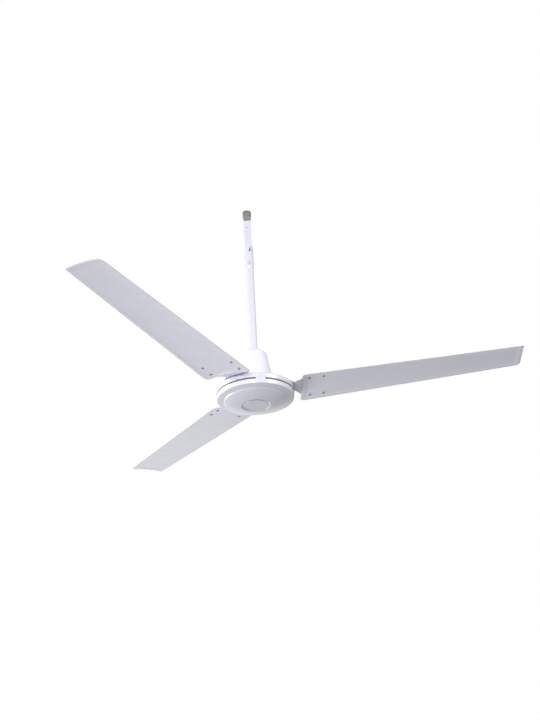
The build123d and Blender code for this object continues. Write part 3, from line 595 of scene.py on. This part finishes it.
def choose(piece, test, kind="VERT"):
    """Selects the vertices, edges or faces whose points all pass a test of their place."""
    bpy.ops.mesh.select_mode(type=kind)
    bpy.ops.mesh.select_all(action="DESELECT")
    mode("OBJECT")
    mesh = piece.data
    passes = [test(vertex.co) for vertex in mesh.vertices]
    if kind == "VERT":
        mesh.vertices.foreach_set("select", passes)
    elements = {"VERT": [], "EDGE": mesh.edges, "FACE": mesh.polygons}[kind]
    for element in elements:
        element.select = all(passes[number] for number in element.vertices)
    mode("EDIT")


def choose_all(kind="VERT"):
    """Selects all of the piece that is being edited."""
    bpy.ops.mesh.select_mode(type=kind)
    bpy.ops.mesh.select_all(action="SELECT")


def shade_smooth(piece, limit):
    """Shades a piece smooth but for the edges that are sharper than a limit."""
    take(piece)
    bpy.ops.object.shade_smooth_by_angle(angle=radians(limit))
    return piece


def shut(piece, smooth=30.0):
    """Merges doubles, turns the faces outwards, and closes the editing of a piece."""
    choose_all()
    bpy.ops.mesh.remove_doubles(threshold=MERGE)
    bpy.ops.mesh.normals_make_consistent(inside=False)
    mode("OBJECT")
    return shade_smooth(piece, smooth)


def stretch(value, height):
    """Scales what is chosen, about the point of the Z axis at a height."""
    bpy.ops.transform.resize(value=value, center_override=(0, 0, height))


def turn(name, rings, segments=64, ring_shaped=False, smooth=30.0):
    """A turned piece: a circle drawn out from ring to ring, each a radius and a height.

    A ring-shaped piece ends where it began; any other is closed by a flat face at each end.
    """
    clear_selection()
    start_radius, start_height = rings[0]
    bpy.ops.mesh.primitive_circle_add(
        vertices=segments,
        radius=start_radius,
        fill_type="NOTHING" if ring_shaped else "NGON",
        location=(0, 0, start_height),
    )
    piece = new_piece(name)
    choose_all("EDGE")
    for (radius, height), (next_radius, next_height) in zip(rings, rings[1:]):
        move = {"value": (0, 0, next_height - height)}
        bpy.ops.mesh.extrude_edges_move(TRANSFORM_OT_translate=move)
        scale = next_radius / radius
        stretch((scale, scale, 1), next_height)
    if not ring_shaped:
        bpy.ops.mesh.edge_face_add()
    return shut(piece, smooth)


def improve(piece, kind, **settings):
    """Adds a modifier and applies it."""
    take(piece)
    modifier = piece.modifiers.new(kind.title(), kind)
    for name, value in settings.items():
        setattr(modifier, name, value)
    bpy.ops.object.modifier_apply(modifier=modifier.name)


def soften(piece, width, segments=2, limit=35.0):
    """Rounds the edges that are sharper than a limit."""
    improve(
        piece,
        "BEVEL",
        width=width,
        segments=segments,
        limit_method="ANGLE",
        angle_limit=radians(limit),
        miter_outer="MITER_ARC",
        harden_normals=False,
    )
    shade_smooth(piece, limit)


def seat(piece, place=(0, 0, 0), turn_z=0.0, turn_x=0.0, turn_y=0.0):
    """Moves a finished piece to its place, with the move kept in its mesh."""
    take(piece)
    moves = Matrix.Translation(Vector(place)) @ Matrix.Rotation(turn_z, 4, "Z")
    piece.matrix_world = moves @ Matrix.Rotation(turn_y, 4, "Y") @ Matrix.Rotation(turn_x, 4, "X")
    bpy.ops.object.transform_apply(location=True, rotation=True, scale=True)
    return piece


def copy_of(piece, name):
    """A copy with a mesh of its own."""
    take(piece)
    bpy.ops.object.duplicate(linked=False)
    return named(name)


def join(name, pieces):
    """Joins several pieces into one."""
    clear_selection()
    for piece in pieces:
        piece.select_set(True)
    bpy.context.view_layer.objects.active = pieces[0]
    if len(pieces) > 1:
        bpy.ops.object.join()
    return named(name)


def scrap(piece):
    """Deletes a piece that only served to make others."""
    take(piece)
    bpy.ops.object.delete()


def fit(piece, body, slot, *nodes):
    """Gives a finished piece its slot's finish and its body, in place of the nodes it replaces."""
    piece.data.materials.clear()
    piece.data.materials.append(bpy.data.materials[finish_name(slot)])
    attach(piece, body)
    if nodes:
        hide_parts(*nodes)
    return piece


# The blade's form, which the arms' rivets also follow


def between(blade, radius, root, tip):
    """A size that changes evenly from the station circle to the tip."""
    share = (radius - blade.station) / (blade.sweep - blade.station)
    return root + share * (tip - root)


def blade_edges(blade, radius):
    """The chord places of the leading edge, the crease and the trailing edge at a radius."""
    lead = -between(blade, radius, blade.lead_width, blade.tip_lead_width)
    trail = between(blade, radius, blade.trail_width, blade.tip_trail_width)
    crease = -between(blade, radius, blade.crease, blade.tip_crease)
    return lead, crease, trail


def blade_height(blade, radius, chord):
    """The height of the sheet's lower face, as the press forms it, before the panel's step."""
    lead, crease, trail = blade_edges(blade, radius)
    camber = between(blade, radius, blade.camber, blade.tip_camber)
    if chord > crease:
        edge = trail + blade.run_out
        arch = between(blade, radius, blade.trail_arch, blade.tip_arch)
    else:
        edge = lead - blade.run_out
        arch = between(blade, radius, blade.lead_arch, blade.tip_arch)
    share = (edge - chord) / (edge - crease)
    rise = GAP_LEVEL + blade.station_height + tan(blade.cone) * (radius - blade.station)
    bulge = camber * share + 4 * arch * share * (1 - share)
    return rise - blade_slope(blade, radius) * chord + bulge


def blade_slope(blade, radius):
    """How steeply the sheet falls across the blade at a radius."""
    return between(blade, radius, tan(blade.pitch), tan(blade.tip_pitch))


def blade_angle(blade, number):
    """The direction of a blade, round from the X axis."""
    return blade.first + (number - 1) * 2 * pi / len(BLADE_NUMBERS)


# Operators


class FAN_OT_lay_finishes(bpy.types.Operator):
    """Makes the finish of every material slot and puts it on the frame's nodes"""

    bl_idname = "fan.lay_finishes"
    bl_label = "Lay the finishes"

    def execute(self, context):
        settings = context.scene.fan_finishes
        for slot, (make, shade) in FINISHES.items():
            finish = Finish(bpy.data.materials.new(finish_name(slot)), settings)
            make(finish, tuple(getattr(settings, shade)))
        for node in NODES.values():
            for socket in node.material_slots:
                socket.material = bpy.data.materials[finish_name(socket.material.name)]
        return {"FINISHED"}


class FAN_OT_press_blades(bpy.types.Operator):
    """Models one blade from a flat blank with a pressed panel, and copies it round the fan"""

    bl_idname = "fan.press_blades"
    bl_label = "Press the blades"

    # The step between band and panel, as shares of its width and of its depth
    profile = ((0.0, 0.0), (0.25, 0.1), (0.75, 0.9), (1.0, 1.0))
    # Faces round a corner, and strips in front of the crease and behind it
    corner_faces = 8
    lead_strips = 5
    trail_strips = 7

    def corners(self, blade):
        """The corners of the outline in order, each a place and a rounding."""
        lead = blade_edges(blade, blade.root_lead)[0]
        trail = blade_edges(blade, blade.root_trail)[2]
        return [
            (Vector((blade.root_lead, lead)), blade.corner_root_lead),
            (Vector((blade.sweep, -blade.tip_lead_width)), blade.corner_tip_lead),
            (Vector((blade.sweep, blade.tip_trail_width)), blade.corner_tip_trail),
            (Vector((blade.root_trail, trail)), blade.corner_root_trail),
            (Vector((blade.root_middle, -blade.root_bend)), blade.corner_root_middle),
        ]

    def outline(self, blade, inset, level):
        """A flat face inside the outline by the inset, with its corners rounded to match."""
        corners = self.corners(blade)
        clear_selection()
        bpy.ops.mesh.primitive_circle_add(
            vertices=len(corners), radius=1, fill_type="NGON", location=(0, 0, level)
        )
        piece = new_piece("blade_outline")
        starts = [vertex.co.copy() for vertex in piece.data.vertices]
        ends = []
        for number, (corner, rounding) in enumerate(corners):
            before = (corner - corners[number - 1][0]).normalized()
            after = (corners[(number + 1) % len(corners)][0] - corner).normalized()
            turned = atan2(before.x * after.y - before.y * after.x, before.dot(after))
            share = inset / cos(turned / 2)
            inward = Vector((-before.y - after.y, before.x + after.x)).normalized()
            rounded = rounding + inset
            if turned > 0:
                rounded = max(rounding - inset, blade.corner_least)
            ends.append((corner + inward * share, rounded * tan(abs(turned) / 2)))
        ring = sorted(starts, key=lambda co: atan2(co.y, co.x))
        for start, (end, _) in zip(ring, ends):
            choose(piece, lambda co: (co - start).length < NEAR)
            bpy.ops.transform.translate(value=(end.x - start.x, end.y - start.y, 0))
        for end, reach in ends:
            choose(piece, lambda co: hypot(co.x - end.x, co.y - end.y) < NEAR)
            bpy.ops.mesh.bevel(offset=reach, segments=self.corner_faces, affect="VERTICES")
        choose_all("FACE")
        bpy.ops.mesh.delete(type="ONLY_FACE")
        mode("OBJECT")
        return piece

    def blank(self, blade):
        """The flat blank: the band, the step, and the raised panel inside it."""
        insets = [0.0] + [blade.border + run * blade.press_run for run, _ in self.profile]
        rises = [0.0] + [rise * blade.press_depth for _, rise in self.profile]
        # The outlines lie on levels of their own until they are bridged, so that each can be chosen
        apart = blade.border
        outlines = [self.outline(blade, inset, k * apart) for k, inset in enumerate(insets)]
        piece = join("blade_blank", outlines)
        mode("EDIT")
        for number in range(1, len(insets)):
            choose(piece, lambda co: abs(co.z - (number - 0.5) * apart) < 0.6 * apart, "EDGE")
            bpy.ops.mesh.bridge_edge_loops()
        choose(piece, lambda co: co.z > (len(insets) - 1.5) * apart, "EDGE")
        bpy.ops.mesh.edge_face_add()
        for number, rise in enumerate(rises):
            choose(piece, lambda co: abs(co.z - number * apart) < 0.1 * apart)
            bpy.ops.transform.translate(value=(0, 0, rise - number * apart))
        choose_all("FACE")
        bpy.ops.mesh.normals_make_consistent(inside=False)
        return piece

    def rule_lines(self, blade):
        """Cuts along the sheet's straight lines and across them, so that it can take its form."""
        ends = [blade_edges(blade, radius) for radius in (blade.station, blade.sweep)]
        shares = [(0, k / self.lead_strips) for k in range(1, self.lead_strips + 1)]
        shares += [(1, k / self.trail_strips) for k in range(1, self.trail_strips)]
        cuts = []
        for edge, share in shares:
            start, end = (line[edge] + share * (line[edge + 1] - line[edge]) for line in ends)
            across = (start - end, blade.sweep - blade.station, 0)
            cuts.append(((blade.station, start, 0), across))
        start, long = blade.root_trail, blade.sweep - blade.root_trail
        rows = int(long / blade.row_pitch)
        cuts += [((start + row * long / rows, 0, 0), (1, 0, 0)) for row in range(1, rows)]
        for place, across in cuts:
            choose_all()
            bpy.ops.mesh.bisect(plane_co=place, plane_no=across)
        choose_all()
        bpy.ops.mesh.remove_doubles(threshold=blade.least_step)

    def execute(self, context):
        blade = context.scene.fan_blade
        piece = self.blank(blade)
        self.rule_lines(blade)
        mode("OBJECT")
        # The press: the height of every point follows from its place in the plan
        for vertex in piece.data.vertices:
            vertex.co.z += blade_height(blade, vertex.co.x, vertex.co.y)
        mode("EDIT")
        shut(piece, smooth=40.0)
        # The sheet is thickened upwards from its lower face, so the open sheet has to look up
        if sum(face.normal.z for face in piece.data.polygons) < 0:
            mode("EDIT")
            choose_all("FACE")
            bpy.ops.mesh.flip_normals()
            mode("OBJECT")
        improve(piece, "SOLIDIFY", thickness=blade.sheet, offset=1.0, use_even_offset=True)
        soften(piece, blade.edge_round, limit=50.0)
        for number in BLADE_NUMBERS:
            made = copy_of(piece, f"pressed_blade_{number}")
            seat(made, turn_z=blade_angle(blade, number))
            fit(made, "rotor", "blade_paint", f"blade_{number}")
        scrap(piece)
        return {"FINISHED"}


class FAN_OT_set_rivets(bpy.types.Operator):
    """Models a hollow rivet and sets four of them in each blade and its arm"""

    bl_idname = "fan.set_rivets"
    bl_label = "Set the rivets"

    def rivet(self, fixing, grip):
        """One rivet: its hollow end with a rolled flange below, and a low dome above."""
        head, shank, bore = fixing.rivet_head, fixing.rivet_shank, fixing.rivet_bore
        stand, depth, bite = fixing.rivet_height, fixing.rivet_depth, fixing.rivet_bite
        flange = head - bore
        rings = [
            (bore * 0.35, depth - stand),
            (bore * 0.9, depth * 0.85 - stand),
            (bore, -stand * 0.7),
            (bore + flange * 0.22, -stand),
            (head - flange * 0.3, -stand * 0.9),
            (head, -stand * 0.3),
            (head, bite),
            (shank, bite),
            (shank, grip - bite),
            (head, grip - bite),
            (head * 0.96, grip + stand * 0.35),
            (head * 0.75, grip + stand * 0.75),
            (head * 0.35, grip + stand),
        ]
        return turn("rivet", rings, segments=32, smooth=50.0)

    def execute(self, context):
        blade = context.scene.fan_blade
        fixing = context.scene.fan_fixings
        pattern = self.rivet(fixing, blade.sheet + fixing.arm_sheet)
        spots = self.spots(blade)
        for number in BLADE_NUMBERS:
            around = blade_angle(blade, number)
            pieces = []
            for radius, chord in spots:
                under = blade_height(blade, radius, chord) + blade.press_depth
                place = Matrix.Rotation(around, 4, "Z") @ Vector((radius, chord, under))
                lean = -blade_slope(blade, radius)
                piece = copy_of(pattern, "rivet")
                pieces.append(seat(piece, place, turn_z=around, turn_x=lean))
            made = join(f"rivets_{number}", pieces)
            fit(made, "rotor", "rivet_steel", f"blade_rivets_{number}")
        scrap(pattern)
        return {"FINISHED"}

    def spots(self, blade):
        """The rivets' places on the first blade, read from its CAD rivets."""
        turned_back = Matrix.Rotation(-blade.first, 4, "Z")
        points = [turned_back @ vertex.co for vertex in NODES["blade_rivets_1"].data.vertices]
        split = sum(point.x for point in points) / len(points)
        spots = []
        for far in (False, True):
            for trailing in (False, True):
                group = [p for p in points if (p.x > split) == far and (p.y > 0) == trailing]
                sides = ([p.x for p in group], [p.y for p in group])
                spots.append(tuple((min(side) + max(side)) / 2 for side in sides))
        return spots


def loose_parts(node):
    """The boxes of a node's separate solids, each as its lowest and highest corner."""
    mesh = NODES[node].data
    rounded = [tuple(round(part, 6) for part in vertex.co) for vertex in mesh.vertices]
    places = {}
    for place in rounded:
        places.setdefault(place, len(places))
    parent = list(range(len(places)))

    def root(number):
        while parent[number] != number:
            parent[number] = parent[parent[number]]
            number = parent[number]
        return number

    for face in mesh.polygons:
        first, *others = (places[rounded[corner]] for corner in face.vertices)
        for other in others:
            parent[root(other)] = root(first)
    groups = {}
    for place, number in places.items():
        groups.setdefault(root(number), []).append(place)
    columns = [tuple(zip(*group)) for group in groups.values()]
    return [(Vector(map(min, sides)), Vector(map(max, sides))) for sides in columns]


def hexagon_head(name, flat, height, fixing):
    """A hexagon head or nut that stands on Z = 0, with a washer face and both ends chamfered."""
    across = flat / cos(pi / 6)
    cut = fixing.chamfer
    drop = cut * 0.6
    face, face_height = flat * 0.96, fixing.washer * 0.5
    rings = [
        (face, 0.0),
        (face, face_height),
        (across - cut, face_height),
        (across, face_height + drop),
        (across, height - drop),
        (across - cut, height),
    ]
    piece = turn(name, rings, segments=6, smooth=20.0)
    soften(piece, cut * 0.25, limit=25.0)
    return piece


def threaded_shank(name, radius, ends, fixing):
    """A round shank along Z, from its first end to where its thread starts and where that ends."""
    start, thread_start, end = ends
    pitch, root = fixing.thread_pitch, radius - fixing.thread_depth
    rings = [(radius, start), (radius, thread_start)]
    height = thread_start
    while height + pitch < end:
        rings += [(root, height + pitch * 0.5), (radius, height + pitch)]
        height += pitch
    rings.append((root, end))
    return turn(name, rings, segments=28, smooth=25.0)


class FAN_OT_drive_screws(bpy.types.Operator):
    """Models the hexagon screws of the arms and the cross-headed screws of the shells"""

    bl_idname = "fan.drive_screws"
    bl_label = "Drive the screws"

    # Washer and shank as shares of half the hexagon's width over flats
    arm_washer = 1.3
    arm_shank = 0.62
    # The cross head's outline, its thickness and its shank, as shares of its radius and thickness
    cross_head = ((0.98, -1.0), (1.0, -0.6), (0.9, -0.25), (0.6, 0.0))
    cross_thickness = 0.85
    cross_shank = 0.64
    # Width of a recess's foot as a share of its mouth
    recess_taper = 0.6

    def arm_screws(self, context, number):
        """The hexagon screws that hold one arm on the upper shell."""
        fixing = context.scene.fan_fixings
        node = f"arm_screws_{number}"
        pieces = []
        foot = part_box(f"blade_arm_{number}")[0].z + fixing.arm_sheet
        for low, high in loose_parts(node):
            place = (low + high) / 2
            # A hexagon's box is a little wider than its flats, by how far the hexagon is turned
            flat = min(high.x - low.x, high.y - low.y) / 2 * cos(pi / 12)
            head = hexagon_head("screw_head", flat, high.z - foot, fixing)
            wide = flat * self.arm_washer
            washer = turn("screw_washer", [(wide, 0.0), (wide, fixing.washer)], segments=32)
            soften(washer, fixing.washer * 0.3)
            ends = (low.z - foot, low.z - foot + fixing.thread_point, 0.0)
            shank = threaded_shank("screw_shank", flat * self.arm_shank, ends, fixing)
            screw = join("screw", [head, washer, shank])
            facing = fixing.screw_turn * len(pieces)
            pieces.append(seat(screw, (place.x, place.y, foot), turn_z=facing))
        fit(join(f"hexagon_screws_{number}", pieces), "rotor", "zinc_steel", node)

    def cross_recess(self, screw, top, fixing):
        """Cuts a cross into the screw's head."""
        bars = []
        for facing in (0.0, pi / 2):
            clear_selection()
            bpy.ops.mesh.primitive_cube_add(size=1, location=(0, 0, top))
            bar = new_piece("recess_bar")
            size = (2 * fixing.recess, fixing.recess_width, 2 * fixing.recess_depth)
            stretch(size, top)
            choose(bar, lambda co: co.z < top)
            stretch((self.recess_taper, self.recess_taper, 1), top - fixing.recess_depth)
            bars.append(seat(shut(bar), turn_z=facing))
        improve(bars[0], "BOOLEAN", operation="UNION", object=bars[1], solver="EXACT")
        improve(screw, "BOOLEAN", operation="DIFFERENCE", object=bars[0], solver="EXACT")
        for bar in bars:
            scrap(bar)

    def shell_screws(self, context):
        """The cross-headed screws that join the shells."""
        fixing = context.scene.fan_fixings
        pieces = []
        for low, high in loose_parts("shell_screws"):
            place = (low + high) / 2
            head = (high.x - low.x) / 2
            thick = head * self.cross_thickness
            rings = [(head * out, thick * up) for out, up in self.cross_head]
            screw = turn("shell_screw", rings, segments=40, smooth=40.0)
            self.cross_recess(screw, 0.0, fixing)
            ends = (low.z - high.z, low.z - high.z + fixing.thread_point, -thick)
            shank = threaded_shank("screw_shank", head * self.cross_shank, ends, fixing)
            screw = join("shell_screw", [screw, shank])
            facing = atan2(place.y, place.x) + fixing.cross_turn
            pieces.append(seat(screw, (place.x, place.y, high.z), turn_z=facing))
        fit(join("cross_head_screws", pieces), "rotor", "zinc_steel", "shell_screws")

    def execute(self, context):
        for number in BLADE_NUMBERS:
            self.arm_screws(context, number)
        self.shell_screws(context)
        return {"FINISHED"}


class FAN_OT_fit_bolts(bpy.types.Operator):
    """Models the two bolts through the rod with their nuts and split pins"""

    bl_idname = "fan.fit_bolts"
    bl_label = "Fit the bolts"

    # A bolt's shank as a share of half its width over flats
    shank = 0.6
    # Half of a split pin's wire, from leg to eye, as shares of its reach and of the wire's radius
    half_pin = (
        (1.0, 4.2),
        (0.82, 1.9),
        (0.55, 1.0),
        (0.0, 1.0),
        (-0.6, 1.0),
        (-0.88, 3.2),
        (-1.12, 3.4),
        (-1.3, 0.0),
    )

    def split_pin(self, name, fixing, reach):
        """A split pin along X, bent from one wire: its eye at the left and its legs spread."""
        wire = fixing.pin_wire
        half = [(reach * along, wire * apart) for along, apart in self.half_pin]
        route = half + [(x, -z) for x, z in reversed(half[:-1])]
        clear_selection()
        bpy.ops.curve.primitive_nurbs_path_add()
        path = bpy.context.object
        spline = path.data.splines[0]
        spline.points.add(len(route) - len(spline.points))
        for point, (x, z) in zip(spline.points, route):
            point.co = (x, 0, z, 1)
        spline.order_u = 3
        spline.use_endpoint_u = True
        path.data.bevel_depth = wire
        path.data.bevel_resolution = 4
        path.data.resolution_u = 5
        path.data.use_fill_caps = True
        bpy.ops.object.convert(target="MESH")
        piece = bpy.context.object
        piece.name = name
        mode("EDIT")
        return shut(piece, smooth=50.0)

    def bolt_set(self, context, place):
        """One bolt along Y with its nut and split pin, on the places of its CAD nodes."""
        fixing = context.scene.fan_fixings
        low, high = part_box(f"{place}_bolt")
        nut_low, nut_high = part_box(f"{place}_nut")
        pin_low, pin_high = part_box(f"{place}_split_pin")
        height = (low.z + high.z) / 2
        flat = (high.z - low.z) / 2
        grip = nut_low.y
        head = hexagon_head("bolt_head", flat, -grip - low.y, fixing)
        seat(head, (0, -grip, height), turn_x=pi / 2)
        ends = (-grip, grip - fixing.thread_reach, high.y)
        shank = threaded_shank("bolt_shank", flat * self.shank, ends, fixing)
        seat(shank, (0, 0, height), turn_x=-pi / 2)
        bolt = join(f"{place}_bolt_threaded", [head, shank])
        nut = hexagon_head(f"{place}_nut_chamfered", flat, nut_high.y - nut_low.y, fixing)
        seat(nut, (0, grip, height), turn_x=-pi / 2)
        reach = (pin_high.x - pin_low.x) / (self.half_pin[0][0] - self.half_pin[-1][0])
        pin = self.split_pin(f"{place}_pin_wire", fixing, reach)
        seat(pin, (0, (pin_low.y + pin_high.y) / 2, height))
        for piece, kind in ((bolt, "bolt"), (nut, "nut"), (pin, "split_pin")):
            fit(piece, "hanger", "zinc_steel", f"{place}_{kind}")

    def execute(self, context):
        for place in ("strap", "shaft"):
            self.bolt_set(context, place)
        return {"FINISHED"}


class FAN_OT_mould_rubber(bpy.types.Operator):
    """Models the rubber round the eye as a rounded barrel that blends into a neck on the strap"""

    bl_idname = "fan.mould_rubber"
    bl_label = "Mould the rubber eye"

    edge_faces = 8

    def execute(self, context):
        rubber = context.scene.fan_rubber
        low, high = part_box("hook_rubber")
        radius = high.z
        edge = rubber.edge
        # The ends bulge past the box by what their rounding takes off at the bore
        half = high.x + edge * (1 - cos(asin(1 - (radius - rubber.bore) / edge)))
        first = asin(1 - (radius - rubber.bore - rubber.lip) / edge)
        turns = [first + k * (pi / 2 - first) / self.edge_faces for k in range(self.edge_faces + 1)]
        corner = [(radius - edge * (1 - sin(a)), half - edge * (1 - cos(a))) for a in turns]
        mouth = corner[0][1] - rubber.lip
        rings = [(rubber.bore, -mouth)] + [(r, -x) for r, x in corner] + corner[::-1]
        rings += [(rubber.bore, mouth), (rubber.bore, -mouth)]
        barrel = turn("barrel", rings, segments=96, ring_shaped=True)
        seat(barrel, turn_y=pi / 2)
        clear_selection()
        # The neck is a tapered block with rounded edges, from inside the barrel's wall down
        neck_top = -(rubber.bore + radius) / 2
        bpy.ops.mesh.primitive_cube_add(size=2)
        neck = new_piece("neck")
        choose_all()
        size = (rubber.neck_width, rubber.neck_top, (neck_top - low.z) / 2)
        stretch(size, 0)
        bpy.ops.transform.translate(value=(0, 0, (neck_top + low.z) / 2))
        choose(neck, lambda co: co.z < (neck_top + low.z) / 2)
        pinch = rubber.neck_foot / rubber.neck_top
        stretch((1, pinch, 1), low.z)
        choose_all("EDGE")
        bpy.ops.mesh.bevel(offset=rubber.lip, segments=3, affect="EDGES")
        shut(neck)
        piece = join("hook_eye_rubber", [barrel, neck])
        piece.data.remesh_voxel_size = rubber.voxel
        take(piece)
        bpy.ops.object.voxel_remesh()
        improve(piece, "SMOOTH", factor=0.5, iterations=9)
        take(piece)
        bpy.ops.object.shade_smooth()
        fit(piece, "hanger", "black_rubber", "hook_rubber")
        return {"FINISHED"}


class FAN_OT_soften_edges(bpy.types.Operator):
    """Rounds the cut and cast edges of the arms, strap, bracket, terminal block and capacitor band
    on merged copies
    """

    bl_idname = "fan.soften_edges"
    bl_label = "Soften the edges"

    # Each node's new name, and the share of the soft edge that it takes
    pieces = {
        "hanger_strap": ("folded_strap", 0.8),
        "connection_bracket": ("bracket_plate", 0.8),
        "terminal_block": ("terminal_moulding", 1.0),
        "capacitor_band": ("band_strip", 0.4),
        **{f"blade_arm_{number}": (f"pressed_arm_{number}", 0.8) for number in BLADE_NUMBERS},
    }

    def execute(self, context):
        width = context.scene.fan_fixings.soft_edge
        for name, (new_name, share) in self.pieces.items():
            node = NODES[name]
            slot = node.material_slots[0].material.name.removeprefix(finish_name(""))
            piece = bpy.data.objects.new(new_name, node.data.copy())
            context.scene.collection.objects.link(piece)
            take(piece)
            bpy.ops.mesh.customdata_custom_splitnormals_clear()
            mode("EDIT")
            choose_all()
            bpy.ops.mesh.remove_doubles(threshold=CAD_MERGE)
            bpy.ops.mesh.dissolve_limited(angle_limit=radians(0.5))
            mode("OBJECT")
            soften(piece, width * share, limit=40.0)
            fit(piece, node["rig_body"], slot, name)
        return {"FINISHED"}


class FAN_OT_set_stage(bpy.types.Operator):
    """Makes the floor, the room's light, the lamps and the camera"""

    bl_idname = "fan.set_stage"
    bl_label = "Set the stage"

    # Each lamp: degrees round to the viewer's left, degrees up, and the height that it aims at
    lamps = (
        ("key", 90, 4, GAP_LEVEL / 2),
        ("fill", -50, 12, GAP_LEVEL / 2),
        ("front", 10, -4, GAP_LEVEL),
        ("back", 120, -30, GAP_LEVEL),
    )

    def plain_rays(self, finish):
        """1 for rays that should see the plain background, and 0 for those that carry light."""
        outputs = ("Is Camera Ray", "Is Glossy Ray", "Is Transmission Ray")
        camera, glossy, through = (finish.node("LightPath", output=name) for name in outputs)
        return camera.larger(glossy).larger(through)

    def room(self, context, settings):
        """An evenly lit room that the camera, mirrors and glass see as white."""
        world = bpy.data.worlds.new("studio_room")
        context.scene.world = world
        room = Finish(world, settings)
        light = self.plain_rays(room) * (1.0 - settings.room_light) + settings.room_light
        back = room.node("Background", inputs={"Color": WHITE, "Strength": light})
        room.node("OutputWorld", inputs={"Surface": back})

    def floor(self, settings, level):
        """A pale floor that takes shadows, and that can't be seen from below."""
        clear_selection()
        bpy.ops.mesh.primitive_grid_add(
            x_subdivisions=8, y_subdivisions=8, size=settings.floor_size, location=(0, 0, level)
        )
        floor = new_piece("studio_floor")
        mode("OBJECT")
        finish = Finish(bpy.data.materials.new("pale_floor"), settings)
        cloud = finish.noise(0.6, 3.0)
        pale = settings.floor_colour
        shade = finish.blend(cloud, solid(pale, 0.98), solid(pale))
        ground = finish.node("BsdfDiffuse", inputs={"Color": shade})
        plain = finish.node("Emission", inputs={"Color": WHITE, "Strength": 1.0})
        share = self.plain_rays(finish) * settings.floor_light
        seen = finish.node("MixShader", inputs={0: share, 1: ground, 2: plain})
        # From below the floor isn't there
        through = finish.node("BsdfTransparent")
        behind = finish.node("NewGeometry", output="Backfacing")
        whole = finish.node("MixShader", inputs={0: behind, 1: seen, 2: through})
        finish.node("OutputMaterial", inputs={"Surface": whole})
        floor.data.materials.append(finish.owner)

    def lamp(self, name, settings, turned, rise, level, power):
        """A round soft lamp, this far round to the viewer's left and this high over its target."""
        target = Vector((0, 0, level))
        facing = Matrix.Rotation(-turned, 3, "Z") @ Matrix.Rotation(-rise, 3, "X")
        place = target + facing @ Vector((0, -settings.lamp_distance, 0))
        bpy.ops.object.light_add(type="AREA", location=place)
        lamp = bpy.context.object
        lamp.name = name
        lamp.data.shape = "DISK"
        lamp.data.size = settings.lamp_size
        lamp.data.energy = power
        lamp.data.spread = settings.spread
        lamp.rotation_euler = (target - lamp.location).to_track_quat("-Z", "Y").to_euler()

    def camera(self, context, settings):
        """The photograph's camera, fitted to the picture."""
        bpy.ops.object.camera_add(location=settings.camera_place)
        camera = bpy.context.object
        camera.name = "photo_camera"
        heading = Matrix.Rotation(-settings.camera_heading, 3, "Z")
        rise = Matrix.Rotation(pi / 2 + settings.camera_rise, 3, "X")
        roll = Matrix.Rotation(settings.camera_roll, 3, "Z")
        camera.rotation_euler = (heading @ rise @ roll).to_euler()
        camera.data.sensor_fit = "AUTO"
        camera.data.sensor_width = settings.sensor
        camera.data.lens = settings.lens
        camera.data.shift_x, camera.data.shift_y = settings.shift
        context.scene.camera = camera

    def execute(self, context):
        settings = context.scene.fan_stage
        clear_selection()
        context.scene.view_settings.view_transform = "Standard"
        self.room(context, settings)
        self.floor(settings, GAP_LEVEL - settings.floor_drop)
        for name, turned, rise, level in self.lamps:
            power = getattr(settings, f"{name}_power")
            self.lamp(f"{name}_lamp", settings, radians(turned), radians(rise), level, power)
        self.camera(context, settings)
        return {"FINISHED"}


class FAN_PT_dressing(bpy.types.Panel):
    """Lists the steps that dress the fan"""

    bl_idname = "FAN_PT_dressing"
    bl_label = "Ceiling fan"
    bl_space_type = "VIEW_3D"
    bl_region_type = "UI"
    bl_category = "Ceiling fan"

    def draw(self, context):
        for step in STEPS:
            self.layout.operator(step.bl_idname)


SETTINGS = {
    "fan_blade": FanBladeSettings,
    "fan_fixings": FanFixingSettings,
    "fan_rubber": FanRubberSettings,
    "fan_finishes": FanFinishSettings,
    "fan_stage": FanStageSettings,
}
STEPS = (
    FAN_OT_lay_finishes,
    FAN_OT_press_blades,
    FAN_OT_set_rivets,
    FAN_OT_drive_screws,
    FAN_OT_fit_bolts,
    FAN_OT_mould_rubber,
    FAN_OT_soften_edges,
    FAN_OT_set_stage,
)


def register():
    for group in (*SETTINGS.values(), *STEPS, FAN_PT_dressing):
        bpy.utils.register_class(group)
    for name, group in SETTINGS.items():
        setattr(bpy.types.Scene, name, PointerProperty(type=group))


def unregister():
    for name in SETTINGS:
        delattr(bpy.types.Scene, name)
    for group in reversed((*SETTINGS.values(), *STEPS, FAN_PT_dressing)):
        bpy.utils.unregister_class(group)


def main():
    register()
    for step in STEPS:
        family, name = step.bl_idname.split(".")
        getattr(getattr(bpy.ops, family), name)()


if __name__ == "__main__":
    main()
